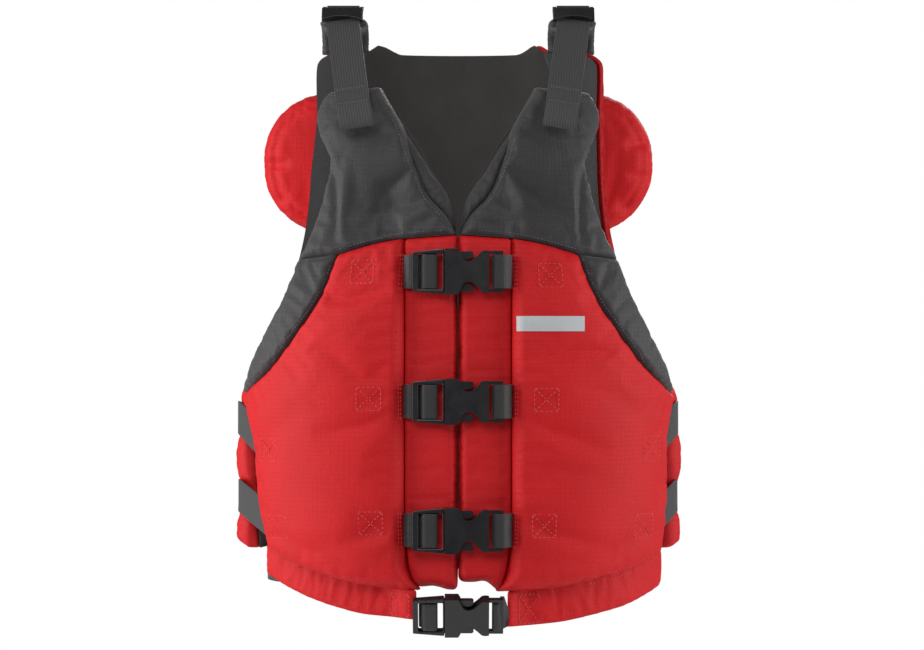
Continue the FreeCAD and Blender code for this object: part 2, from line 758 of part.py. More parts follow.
def socket_outline():
    upper = [
        [(-15.0, BUCKLE_HALF_WIDTH), (0.0, BUCKLE_HALF_WIDTH)],
        [(0.0, BUCKLE_HALF_WIDTH), (3.0, 20.0), (7.0, 13.2), (12.0, 11.4), (18.0, 14.0), (27.0, 22.8)],
        [(27.0, 22.8), (31.0, 23.5), (35.0, 22.8)],
    ]
    lower = [[(x, -z) for x, z in segment[::-1]] for segment in upper[::-1]]
    return upper + [[(35.0, 22.8), (35.0, -22.8)]] + lower + [[(-15.0, -BUCKLE_HALF_WIDTH), (-15.0, BUCKLE_HALF_WIDTH)]]


def socket():
    """Closed half of a side-release buckle, with windows at the sides."""
    half = SOCKET_THICK / 2.0
    body = outline_prism(socket_outline(), -half, half)
    inside = BAR_THICK / 2.0 + PRONG_CLEARANCE
    wide = BUCKLE_HALF_WIDTH - 1.8
    body = body.cut(box((-16.0, -inside, -wide), (19.5, inside, wide)))
    inner = WEBBING / 2.0 + SLOT_CLEARANCE
    length = BUCKLE_HALF_LENGTH
    rails = []
    for sign in (-1.0, 1.0):
        low = min(sign * inner, sign * 23.2)
        high = max(sign * inner, sign * 23.2)
        rails.append(box((34.0, -BAR_THICK / 2.0, low), (length, BAR_THICK / 2.0, high)))
    bar = box((41.5, -BAR_THICK / 2.0, -inner - 1.0), (length, BAR_THICK / 2.0, inner + 1.0))
    return body.fuse(rails + [bar]).removeSplitter()


def tongue_webbing():
    """Webbing from the placket slot, behind the end bar and over the middle bar."""
    near = BAR_THICK / 2.0 + WEBBING_THICK / 2.0 + 0.5
    back = FRAME_THICK / 2.0 + WEBBING_THICK / 2.0 + 0.5
    start = -PLACKET_WIDTH - 0.5
    points = [(start, back), (-41.0, back), (-38.4, -near), (-22.6, -near), (-22.6, back - 2.0)]
    return strap(points, 1.6, WEBBING_THICK, WEBBING)


def socket_webbing():
    """Webbing from the other slot, looped round the bar of the socket."""
    near = BAR_THICK / 2.0 + WEBBING_THICK / 2.0 + 0.5
    end = PLACKET_WIDTH + 0.5
    points = [(end, -near), (39.2, -near), (39.2, near), (end, near)]
    return strap(points, 2.2, WEBBING_THICK, WEBBING)


def placed_buckles():
    """Every buckle's piece, where it lies: (name, turned and moved pieces)."""
    pieces = {
        "tongue": tongue(),
        "socket": socket(),
        "upper_prong": prong(),
        "lower_prong": prong().mirror(V(0, 0, 0), V(0, 0, 1)),
        "tongue_webbing": tongue_webbing(),
        "socket_webbing": socket_webbing(),
    }
    placed = {}
    for name, height in zip(BUCKLE_NAMES, BUCKLE_HEIGHTS):
        level = height * TALL
        face = torso(level, FRONT)[1] + PLACKET_THICK
        centre = V(0, -(face + BUCKLE_STAND + SOCKET_THICK / 2.0), level)
        placed[name] = {key: moved(shape, centre) for key, shape in pieces.items()}
    centre = V(0, -WAIST_BUCKLE_DEPTH * DEEP, WAIST_BUCKLE_HEIGHT)
    tilted = {}
    for key, shape in pieces.items():
        tilted[key] = moved(turned(shape, V(0, 0, 0), V(1, 0, 0), WAIST_BUCKLE_TILT), centre)
    placed["waist_buckle"] = tilted
    return placed


# -------------------------------------------------------------------- the head pillow


def pillow_depth():
    """Depth of the pillow's near face, just behind the back panel."""
    return max(torso(level * TALL, BACK)[1] for level in (PILLOW_BOTTOM, PILLOW_TOP)) + BACK_THICK + PILLOW_STAND


def pillow_block(pull):
    """A flat pad with round ends, smaller all round by pull."""
    half = PILLOW_HALF_WIDTH * WIDE - pull
    low = PILLOW_BOTTOM * TALL + pull
    high = PILLOW_TOP * TALL - pull
    near = pillow_depth() + pull
    thick = PILLOW_THICK - 2.0 * pull
    block = Part.makeBox(2.0 * half, thick, high - low, V(-half, near, low))
    corners = []
    for edge in block.Edges:
        along = edge.tangentAt(edge.FirstParameter)
        if abs(along.y) > 0.9:
            corners.append(edge)
    corner = min(PILLOW_CORNER - pull, (high - low) / 2.0 - 1.0)
    block = block.makeFillet(corner, corners)
    rims = []
    for edge in block.Edges:
        middle = edge.valueAt((edge.FirstParameter + edge.LastParameter) / 2.0)
        if abs(middle.y - near) < 0.01 or abs(middle.y - near - thick) < 0.01:
            rims.append(edge)
    return block.makeFillet(PILLOW_EDGE - pull, rims)


def pillow_parts():
    cover = pillow_block(0.0).cut(pillow_block(SKIN))
    foam = pillow_block(SKIN + LAYER_GAP)
    return cover, foam


def pillow_hinge():
    return V(0, pillow_depth() - 3.0, (PILLOW_TOP + 6.0) * TALL)


def pillow_tabs():
    """Two fabric tabs from the back panel to the fold line of the pillow."""
    hinge = pillow_hinge()
    near = torso(hinge.z, BACK)[1] + BACK_THICK
    tabs = []
    for sign in (-1.0, 1.0):
        x = sign * 60.0 * WIDE
        tilt = math.cos(angle_at(abs(x) + 25.0, hinge.z, BACK, BACK_THICK))
        start = near + 0.8
        tab = box((x - 25.0, start, hinge.z - 1.0), (x + 25.0, hinge.y - 1.0, hinge.z + 1.0))
        flap = box((x - 25.0, start * tilt + 8.0, hinge.z - 1.0), (x + 25.0, start + 0.1, hinge.z + 1.0))
        tabs.append(tab.fuse(flap).removeSplitter())
    return Part.makeCompound(tabs)


# ------------------------------------------------------------------------- assembly


def side_lock_place(height):
    """Hinge point of a left side lock, and the angle that it faces."""
    angle = BACK_END - math.radians(44.0)
    offset = BACK_THICK + 3.0 * WEBBING_THICK + LOCK_THICK / 2.0 + 1.0
    point = surface_point(angle, height, BACK, offset)
    ahead = surface_point(angle + 0.02, height, BACK, offset)
    return point, math.degrees(math.atan2(ahead.y - point.y, ahead.x - point.x))


def side_lock(height):
    """A ladder lock on edge against the side, with its hinge bar upright."""
    point, heading = side_lock_place(height)
    lock = turned(ladder_lock(), V(0, 0, 0), V(0, 1, 0), 90.0)
    lock = turned(lock, V(0, 0, 0), V(0, 0, 1), heading + 90.0)
    return moved(lock, point)


def build():
    nodes = {}
    left = front_panels()
    left["waistband"] = waistband()
    left["shoulder_strap"] = shoulder_strap()
    left["strap_tail"] = strap_tail()
    left["shoulder_pad"] = shoulder_pad()
    left["shoulder_anchor"] = anchor_loop()
    left["ladder_lock"] = shoulder_lock()
    tabs = []
    runs = []
    for name, (front_height, back_height) in zip(("upper", "lower"), SIDE_STRAP_HEIGHTS):
        tab, run = side_webbing(front_height, back_height)
        tabs.append(tab)
        runs.append(run)
        left[name + "_side_lock"] = side_lock(back_height * TALL)
    left["side_tabs"] = Part.makeCompound(tabs)
    left["side_straps"] = Part.makeCompound(runs)
    for name, shape in left.items():
        nodes["left_" + name] = shape
        nodes["right_" + name] = mirrored(shape)

    for name, shape in back_panels().items():
        nodes["back_" + name] = shape
    nodes["waist_belt"] = waist_belt()
    nodes["reflective_mark"] = reflective_mark()
    cover, foam = pillow_parts()
    nodes["pillow_cover"] = cover
    nodes["pillow_foam"] = foam
    nodes["pillow_tabs"] = pillow_tabs()

    tongue_loops = []
    socket_loops = []
    for name, pieces in placed_buckles().items():
        tongue_loops.append(pieces.pop("tongue_webbing"))
        socket_loops.append(pieces.pop("socket_webbing"))
        for piece, shape in pieces.items():
            nodes[name + "_" + piece] = shape
    nodes["right_front_webbing"] = Part.makeCompound(tongue_loops)
    nodes["left_front_webbing"] = Part.makeCompound(socket_loops)
    return nodes


os.makedirs("parts", exist_ok=True)
for node_name, node_shape in sorted(build().items()):
    node_shape.exportStep("parts/" + node_name + ".step")
    extent = node_shape.BoundBox
    print(
        "%-22s solids %d valid %s volume %9.1f x %7.1f %7.1f y %7.1f %7.1f z %7.1f %7.1f"
        % (
            node_name, len(node_shape.Solids), node_shape.isValid(), node_shape.Volume,
            extent.XMin, extent.XMax, extent.YMin, extent.YMax, extent.ZMin, extent.ZMax,
        )
    )
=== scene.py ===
import math

import bmesh
import bpy
import numpy as np
from mathutils import Matrix, Vector
from mathutils.bvhtree import BVHTree
from mathutils.geometry import delaunay_2d_cdt


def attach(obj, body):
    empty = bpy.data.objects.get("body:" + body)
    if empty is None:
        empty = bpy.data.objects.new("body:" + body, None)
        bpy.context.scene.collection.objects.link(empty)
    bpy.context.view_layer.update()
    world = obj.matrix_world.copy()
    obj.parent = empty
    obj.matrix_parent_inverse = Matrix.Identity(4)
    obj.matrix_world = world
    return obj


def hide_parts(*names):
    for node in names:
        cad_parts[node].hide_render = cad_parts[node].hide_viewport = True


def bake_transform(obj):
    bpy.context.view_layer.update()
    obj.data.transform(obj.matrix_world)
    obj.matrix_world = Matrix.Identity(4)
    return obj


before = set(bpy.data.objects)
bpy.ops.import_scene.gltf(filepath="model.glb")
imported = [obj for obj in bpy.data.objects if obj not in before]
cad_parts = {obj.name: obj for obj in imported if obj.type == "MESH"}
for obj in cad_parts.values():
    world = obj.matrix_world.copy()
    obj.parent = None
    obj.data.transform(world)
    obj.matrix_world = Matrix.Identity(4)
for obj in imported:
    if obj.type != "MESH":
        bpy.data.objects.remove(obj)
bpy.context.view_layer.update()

# Life jacket: padded ripstop panels round a torso form, webbing and moulded buckles.
# Pattern sizes are in millimetres, as (distance from the middle, height); meshes are in metres.

MM = 0.001
FRONT, BACK = -1.0, 1.0
SIDES = {"left": 1.0, "right": -1.0}

# ------------------------------------------------------------------ the torso form

# height, half width, half depth in front, half depth behind
TORSO_LEVELS = np.array(
    [
        (0.0, 228.0, 122.0, 122.0),
        (60.0, 229.0, 123.0, 123.0),
        (100.0, 234.0, 124.0, 125.0),
        (268.0, 236.0, 126.0, 126.0),
        (420.0, 225.0, 124.0, 118.0),
        (520.0, 205.0, 112.0, 110.0),
        (614.0, 190.0, 88.0, 95.0),
        (700.0, 180.0, 60.0, 74.0),
    ]
)
LEVEL_SPREAD = (-30.0, -15.0, 0.0, 15.0, 30.0)  # the form is smoothed over this height
CLOTH_HALF_WIDTH = 255.0  # ellipse that cloth lengths round the torso are measured on
CLOTH_HALF_DEPTH = 142.0
TURNS = np.linspace(0.0, math.radians(100.0), 500)
TURN_SPEED = np.hypot(CLOTH_HALF_WIDTH * np.cos(TURNS), CLOTH_HALF_DEPTH * np.sin(TURNS))
LENGTHS = np.concatenate([[0.0], np.cumsum((TURN_SPEED[1:] + TURN_SPEED[:-1]) / 2 * np.diff(TURNS))])


def torso(height, facing):
    """Half width and half depth of the torso at each height."""
    column = 2 if facing == FRONT else 3
    heights = TORSO_LEVELS[:, 0]
    height = np.asarray(height, float)
    wide = sum(np.interp(height + s, heights, TORSO_LEVELS[:, 1]) for s in LEVEL_SPREAD)
    deep = sum(np.interp(height + s, heights, TORSO_LEVELS[:, column]) for s in LEVEL_SPREAD)
    return wide / len(LEVEL_SPREAD), deep / len(LEVEL_SPREAD)


def round_at(x, height, facing, offset):
    """Cloth length round the torso from the middle line to a distance from it."""
    wide = torso(height, facing)[0] + offset
    turn = np.arcsin(np.clip(np.asarray(x, float) / wide, -1.0, 1.0))
    return np.sign(turn) * np.interp(np.abs(turn), TURNS, LENGTHS)


def round_at_turn(degrees):
    return float(np.interp(math.radians(degrees), TURNS, LENGTHS))


def on_torso(around, height, facing, offset):
    """Points in mm at cloth lengths round the torso, heights and offsets out from it."""
    around = np.asarray(around, float)
    turn = np.sign(around) * np.interp(np.abs(around), LENGTHS, TURNS)
    wide, deep = torso(height, facing)
    x = (wide + offset) * np.sin(turn)
    y = facing * (deep + offset) * np.cos(turn)
    return np.stack([x, y, np.broadcast_to(height, x.shape)], -1)


def torso_place(facing, sign):
    return lambda around, height, offset: on_torso(sign * around, height, facing, offset)


UPRIGHT = 13.0  # offset at which the back's armhole edges are measured


def back_place(around, height, offset):
    """As on_torso behind, but with walls square to the front view at the armholes."""
    height = np.broadcast_to(height, np.shape(around)).astype(float)
    share = smooth_step((height - 262.0) / 50.0)
    round_x = on_torso(around, height, BACK, offset)[:, 0]
    square_x = on_torso(around, height, BACK, UPRIGHT)[:, 0]
    x = round_x * (1.0 - share) + square_x * share
    x *= 1.0 - 0.028 * smooth_step((height - 520.0) / 80.0) * (np.asarray(around) < 0.0)
    wide, deep = torso(height, BACK)
    turn = np.arcsin(np.clip(x / (wide + offset), -1.0, 1.0))
    return np.stack([x, (deep + offset) * np.cos(turn), height], -1)


def smooth_step(share):
    share = np.clip(share, 0.0, 1.0)
    return share * share * (3.0 - 2.0 * share)


# -------------------------------------------------------------------- pattern lines


def spline(points, step=4.0):
    """A straight line through two points, or a smooth one through more."""
    points = np.array(points, float)
    if len(points) == 2:
        count = max(2, int(math.ceil(np.linalg.norm(points[1] - points[0]) / step)) + 1)
        return points[0] + np.linspace(0.0, 1.0, count)[:, None] * (points[1] - points[0])
    ends = np.vstack([2 * points[0] - points[1], points, 2 * points[-1] - points[-2]])
    runs = []
    for p0, p1, p2, p3 in zip(ends, ends[1:], ends[2:], ends[3:]):
        count = max(2, int(math.ceil(np.linalg.norm(p2 - p1) / step)))
        t = np.linspace(0.0, 1.0, count, endpoint=False)[:, None]
        cubic = -p0 + 3 * p1 - 3 * p2 + p3
        square = 2 * p0 - 5 * p1 + 4 * p2 - p3
        runs.append(0.5 * (2 * p1 + (p2 - p0) * t + square * t**2 + cubic * t**3))
    return np.vstack(runs + [points[-1:]])


def evenly(line, spacing):
    """The same line with points a spacing apart."""
    steps = np.linalg.norm(np.diff(line, axis=0), axis=1)
    lengths = np.concatenate([[0.0], np.cumsum(steps)])
    count = max(2, int(round(lengths[-1] / spacing)) + 1)
    at = np.linspace(0.0, lengths[-1], count)
    return np.stack([np.interp(at, lengths, line[:, k]) for k in range(line.shape[1])], -1)


def nearest(line, points):
    """Distance of each point from a line, and how far along the line that place is."""
    best = np.full(len(points), 1e9)
    along = np.zeros(len(points))
    run = 0.0
    for a, b in zip(line[:-1], line[1:]):
        edge = b - a
        length = float(np.linalg.norm(edge))
        if length < 1e-9:
            continue
        share = np.clip((points - a) @ edge / length**2, 0.0, 1.0)
        away = np.linalg.norm(points - (a + share[:, None] * edge), axis=1)
        closer = away < best
        best[closer] = away[closer]
        along[closer] = run + share[closer] * length
        run += length
    return best, along


def inside(loop, points):
    x, y = points[:, 0], points[:, 1]
    odd = np.zeros(len(points), bool)
    for (ax, ay), (bx, by) in zip(loop, np.roll(loop, -1, 0)):
        if ay == by:
            continue
        crosses = (ay > y) != (by > y)
        odd ^= crosses & (x < (bx - ax) * (y - ay) / (by - ay) + ax)
    return odd


def drawn(points, facing=FRONT, offset=18.0):
    """A line drawn on the front view, as cloth length round the torso and height."""
    line = spline(points)
    return np.stack([round_at(line[:, 0], line[:, 1], facing, offset), line[:, 1]], -1)


def edge(line, drop, roll, sewn=False, pucker=0.0):
    """An edge of a pad: how far its surface drops there, over what width it rolls off,
    whether it is sewn to a neighbour, and how deep its puckers are."""
    return {"line": line, "drop": drop, "roll": roll, "sewn": sewn, "pucker": pucker}


# ------------------------------------------------------------------------- materials


def linear(code):
    """A colour's linear values from its sRGB hex."""
    parts = [int(code[i : i + 2], 16) / 255.0 for i in (1, 3, 5)]
    return [c / 12.92 if c <= 0.04045 else ((c + 0.055) / 1.055) ** 2.4 for c in parts] + [1.0]


def node(tree, kind, inputs=None, **settings):
    """Adds a node with its settings, values and links."""
    made = tree.nodes.new("ShaderNode" + kind)
    for key, value in settings.items():
        setattr(made, key, value)
    for socket, value in (inputs or {}).items():
        if isinstance(value, bpy.types.NodeSocket):
            tree.links.new(value, made.inputs[socket])
        else:
            made.inputs[socket].default_value = value
    return made


def new_material(name, colour):
    material = bpy.data.materials.new(name)
    material.use_nodes = True
    material.diffuse_color = colour
    tree = material.node_tree
    tree.nodes.clear()
    return material, tree


def finish_material(tree, colour, bump, strength, distance, values):
    normal = node(tree, "Bump", {"Strength": strength, "Distance": distance, "Height": bump})
    inputs = {"Base Color": colour, "Normal": normal.outputs[0]}
    inputs.update(values)
    shader = node(tree, "BsdfPrincipled", inputs)
    node(tree, "OutputMaterial", {"Surface": shader.outputs[0]})


def repeat(tree, value, size):
    """0 at the middle of each stripe and 0.5 at its borders; size in metres."""
    scaled = node(tree, "Math", {0: value, 1: 1.0 / size}, operation="MULTIPLY").outputs[0]
    part = node(tree, "Math", {0: scaled}, operation="FRACT").outputs[0]
    centred = node(tree, "Math", {0: part, 1: 0.5}, operation="SUBTRACT").outputs[0]
    return node(tree, "Math", {0: centred}, operation="ABSOLUTE").outputs[0]


def stripe(tree, value, size, start):
    """A soft line on each border of the stripes."""
    far = repeat(tree, value, size)
    values = {"Value": far, "From Min": start, "From Max": 0.5, "To Min": 0.0, "To Max": 1.0}
    return node(tree, "MapRange", values, interpolation_type="SMOOTHSTEP").outputs[0]


def cloth_axes(tree):
    uv = node(tree, "UVMap", uv_map="cloth").outputs[0]
    axes = node(tree, "SeparateXYZ", {0: uv}).outputs
    return uv, axes[0], axes[1]


RIPSTOP_GRID = 0.0052  # between the heavier threads
WEAVE_PITCH = 0.0013  # threads are 0.3 mm apart, drawn coarser so that they show


def ripstop(name, code, dark_code, sheen, roughness):
    """Nylon ripstop: a fine plain weave with heavier threads in a 5 mm grid, which
    catches light on the threads and has a soft sheen at grazing angles."""
    material, tree = new_material(name, linear(code))
    uv, u, v = cloth_axes(tree)
    grid_u = stripe(tree, u, RIPSTOP_GRID, 0.40)
    grid_v = stripe(tree, v, RIPSTOP_GRID, 0.40)
    grid = node(tree, "Math", {0: grid_u, 1: grid_v}, operation="MAXIMUM").outputs[0]
    weave_u = repeat(tree, u, WEAVE_PITCH)
    weave_v = repeat(tree, v, WEAVE_PITCH)
    weave = node(tree, "Math", {0: weave_u, 1: weave_v}, operation="ADD").outputs[0]
    wide = node(tree, "TexNoise", {"Vector": uv, "Scale": 14.0, "Detail": 3.0}).outputs[0]
    slub = node(tree, "TexNoise", {"Vector": uv, "Scale": 420.0, "Detail": 2.0}).outputs[0]
    tone = node(tree, "Math", {0: wide, 1: slub}, operation="ADD").outputs[0]
    values = {"Value": tone, "From Min": 0.7, "From Max": 1.3}
    mixed = node(tree, "MapRange", values).outputs[0]
    cloth = node(
        tree, "Mix", {"Factor": mixed, "A": linear(dark_code), "B": linear(code)}, data_type="RGBA"
    ).outputs["Result"]
    deep = [c * 0.72 for c in linear(code)[:3]] + [1.0]
    line_share = node(tree, "Math", {0: grid, 1: 0.34}, operation="MULTIPLY").outputs[0]
    colour = node(
        tree, "Mix", {"Factor": line_share, "A": cloth, "B": deep}, data_type="RGBA"
    ).outputs["Result"]
    ridge = node(tree, "Math", {0: grid, 1: 1.2}, operation="MULTIPLY").outputs[0]
    height = node(tree, "Math", {0: ridge, 1: weave}, operation="ADD").outputs[0]
    height = node(tree, "Math", {0: height, 1: slub}, operation="ADD").outputs[0]
    finish = {
        "Roughness": roughness,
        "Sheen Weight": sheen,
        "Sheen Roughness": 0.45,
        "Sheen Tint": linear("#FFFFFF"),
        "Specular IOR Level": 0.22,
        "IOR": 1.53,
    }
    finish_material(tree, colour, height, 0.35, 0.00035, finish)
    return material


def plain_weave(name, code, dark_code, pitch, roughness):
    """Plain woven lining: a matte, open weave with soft blotches of tone."""
    material, tree = new_material(name, linear(code))
    uv, u, v = cloth_axes(tree)
    weave_u = repeat(tree, u, pitch)
    weave_v = repeat(tree, v, pitch)
    weave = node(tree, "Math", {0: weave_u, 1: weave_v}, operation="ADD").outputs[0]
    blot = node(tree, "TexNoise", {"Vector": uv, "Scale": 22.0, "Detail": 4.0}).outputs[0]
    tone = node(tree, "Math", {0: weave, 1: blot}, operation="MULTIPLY").outputs[0]
    values = {"Value": tone, "From Min": 0.05, "From Max": 0.5}
    mixed = node(tree, "MapRange", values).outputs[0]
    colour = node(
        tree, "Mix", {"Factor": mixed, "A": linear(dark_code), "B": linear(code)}, data_type="RGBA"
    ).outputs["Result"]
    finish = {"Roughness": roughness, "Sheen Weight": 0.12, "Specular IOR Level": 0.25, "IOR": 1.53}
    finish_material(tree, colour, weave, 0.5, 0.0004, finish)
    return material


def woven_webbing(name, code, dark_code, rib, pick, rib_share):
    """Flat nylon webbing: rounded warp ribs along it, crossed by fine weft picks, with a slightly
    shiny crown on each rib; painted shade darkens the valleys between ribs and picks, with random fuzz in
    tone."""
    material, tree = new_material(name, linear(code))
    uv, u, v = cloth_axes(tree)
    ribs = repeat(tree, u, rib)
    picks = repeat(tree, v, pick)
    valley_depth_and_shade = node(tree, "Math", {0: ribs, 1: ribs}, operation="MULTIPLY").outputs[0]
    valley_depth_and_shade = node(tree, "Math", {0: valley_depth_and_shade, 1: 4.0 * rib_share}, operation="MULTIPLY").outputs[0]
    cross = node(tree, "Math", {0: picks, 1: picks}, operation="MULTIPLY").outputs[0]
    cross = node(
        tree, "Math", {0: cross, 1: 4.0 * (1.0 - rib_share)}, operation="MULTIPLY"
    ).outputs[0]
    depth = node(tree, "Math", {0: valley_depth_and_shade, 1: cross}, operation="ADD").outputs[0]
    fuzz = node(tree, "TexNoise", {"Vector": uv, "Scale": 900.0, "Detail": 2.0}).outputs[0]
    tone = node(tree, "Math", {0: fuzz, 1: 0.35}, operation="MULTIPLY").outputs[0]
    tone = node(tree, "Math", {0: depth, 1: tone}, operation="ADD").outputs[0]
    # painted shade: the colour goes towards the dark colour in the rib and pick valleys, plus random fuzz
    colour = node(
        tree, "Mix", {"Factor": tone, "A": linear(code), "B": linear(dark_code)}, data_type="RGBA"
    ).outputs["Result"]
    height = node(tree, "Math", {0: 1.0, 1: depth}, operation="SUBTRACT").outputs[0]
    finish = {"Roughness": 0.62, "Sheen Weight": 0.15, "Specular IOR Level": 0.4, "IOR": 1.53}
    finish_material(tree, colour, height, 0.6, 0.0005, finish)
    return material


def moulded_plastic(name, code, roughness):
    """Injection-moulded acetal: a fine spark-eroded texture that breaks up its gloss."""
    material, tree = new_material(name, linear(code))
    place = node(tree, "TexCoord").outputs["Object"]
    grain = node(tree, "TexNoise", {"Vector": place, "Scale": 1800.0, "Detail": 2.0}).outputs[0]
    flow = node(tree, "TexNoise", {"Vector": place, "Scale": 60.0, "Detail": 3.0}).outputs[0]
    values = {"Value": flow, "From Min": 0.3, "From Max": 0.7, "To Min": roughness - 0.06}
    values["To Max"] = roughness + 0.08
    rough = node(tree, "MapRange", values).outputs[0]
    values = {"Value": flow, "From Min": 0.3, "From Max": 0.7, "To Min": 0.85, "To Max": 1.15}
    shade = node(tree, "MapRange", values).outputs[0]
    colour = node(tree, "HueSaturation", {"Value": shade, "Color": linear(code)}).outputs[0]
    finish = {"Roughness": rough, "Specular IOR Level": 0.5, "IOR": 1.48}
    finish_material(tree, colour, grain, 0.25, 0.0001, finish)
    return material


def sewing_thread(name, code):
    """Bonded polyester thread: two plies twisted together, slightly glossy."""
    material, tree = new_material(name, linear(code))
    place = node(tree, "TexCoord").outputs["Object"]
    twist = node(tree, "TexNoise", {"Vector": place, "Scale": 2500.0, "Detail": 1.0}).outputs[0]
    values = {"Value": twist, "From Min": 0.3, "From Max": 0.7, "To Min": 0.75, "To Max": 1.15}
    shade = node(tree, "MapRange", values).outputs[0]
    colour = node(tree, "HueSaturation", {"Value": shade, "Color": linear(code)}).outputs[0]
    finish_material(tree, colour, twist, 0.4, 0.0001, {"Roughness": 0.5, "IOR": 1.53})
    return material


def glass_bead_tape(name, code):
    """Retroreflective tape: silver film under a fine mesh of sealed cells."""
    material, tree = new_material(name, linear(code))
    u, v = cloth_axes(tree)[1:]
    cell_u = stripe(tree, u, 0.0024, 0.36)
    cell_v = stripe(tree, v, 0.0024, 0.36)
    cells = node(tree, "Math", {0: cell_u, 1: cell_v}, operation="MAXIMUM").outputs[0]
    share = node(tree, "Math", {0: cells, 1: 0.5}, operation="MULTIPLY").outputs[0]
    colour = node(
        tree, "Mix", {"Factor": share, "A": linear(code), "B": linear("#9FA2A4")}, data_type="RGBA"
    ).outputs["Result"]
    finish = {"Metallic": 0.0, "Roughness": 0.5}
    finish_material(tree, colour, cells, 0.3, 0.0002, finish)
    return material


RED = ripstop("ripstop_nylon_red", "#CB171D", "#BB1318", 0.0, 0.62)
CHARCOAL = ripstop("ripstop_nylon_charcoal", "#3A383A", "#302E30", 0.24, 0.50)
LINING = plain_weave("woven_polyester_lining", "#423F3E", "#343230", 0.0018, 0.85)
# the second colour of each webbing is the painted shade in its valleys
WEBBING = woven_webbing("ribbed_nylon_webbing", "#474546", "#282728", 0.0030, 0.0016, 0.8)
FLAT_WEBBING = woven_webbing("flat_nylon_webbing", "#312F2F", "#181717", 0.0021, 0.0027, 0.5)
BELT_WEBBING = woven_webbing("smooth_nylon_webbing", "#3A3838", "#222121", 0.0016, 0.0016, 0.6)
PLASTIC = moulded_plastic("moulded_acetal", "#1B191C", 0.30)
RED_THREAD = sewing_thread("polyester_thread_red", "#D64A4A")
DARK_THREAD = sewing_thread("polyester_thread_charcoal", "#6B696A")
TAPE = glass_bead_tape("retroreflective_tape", "#B9BCBE")

# -------------------------------------------------------------------- making meshes


def clear_selection():
    if bpy.context.object is not None and bpy.context.object.mode != "OBJECT":
        bpy.ops.object.mode_set(mode="OBJECT")
    bpy.ops.object.select_all(action="DESELECT")


def pick(piece):
    clear_selection()
    piece.select_set(True)
    bpy.context.view_layer.objects.active = piece


def apply_modifiers(piece):
    pick(piece)
    for name in [modifier.name for modifier in piece.modifiers]:
        bpy.ops.object.modifier_apply(modifier=name)


def new_piece(name, points, faces, uv, materials, slots=None):
    """A mesh object from points in mm, faces and each point's place on the cloth."""
    mesh = bpy.data.meshes.new(name)
    mesh.from_pydata((points * MM).tolist(), [], faces)
    layer = mesh.uv_layers.new(name="cloth")
    corner = np.zeros(len(mesh.loops), np.int32)
    mesh.loops.foreach_get("vertex_index", corner)
    layer.data.foreach_set("uv", (uv[corner] * MM).astype(np.float32).ravel())
    for material in materials:
        mesh.materials.append(material)
    if slots is not None:
        mesh.polygons.foreach_set("material_index", np.array(slots, np.int32))
    mesh.update()
    piece = bpy.data.objects.new(name, mesh)
    bpy.context.scene.collection.objects.link(piece)
    return piece


def outward(piece):
    """Turns every face of a closed mesh outwards."""
    form = bmesh.new()
    form.from_mesh(piece.data)
    bmesh.ops.recalc_face_normals(form, faces=form.faces)
    form.to_mesh(piece.data)
    form.free()


def smooth(piece, degrees=60.0):
    pick(piece)
    bpy.ops.object.shade_smooth_by_angle(angle=math.radians(degrees))


def waves(along, pitch, seed):
    """An uneven ripple between 0 and 1."""
    turn = 2.0 * math.pi * along / pitch
    ripple = np.sin(turn + seed) + 0.6 * np.sin(0.61 * turn + 2.1 * seed) + 0.5 * np.sin(1.73 * turn + seed)
    return 0.5 + 0.5 * np.clip(ripple / 1.6, -1.0, 1.0)


PUCKER_PITCH = 17.0  # between gathers along a seam, in mm


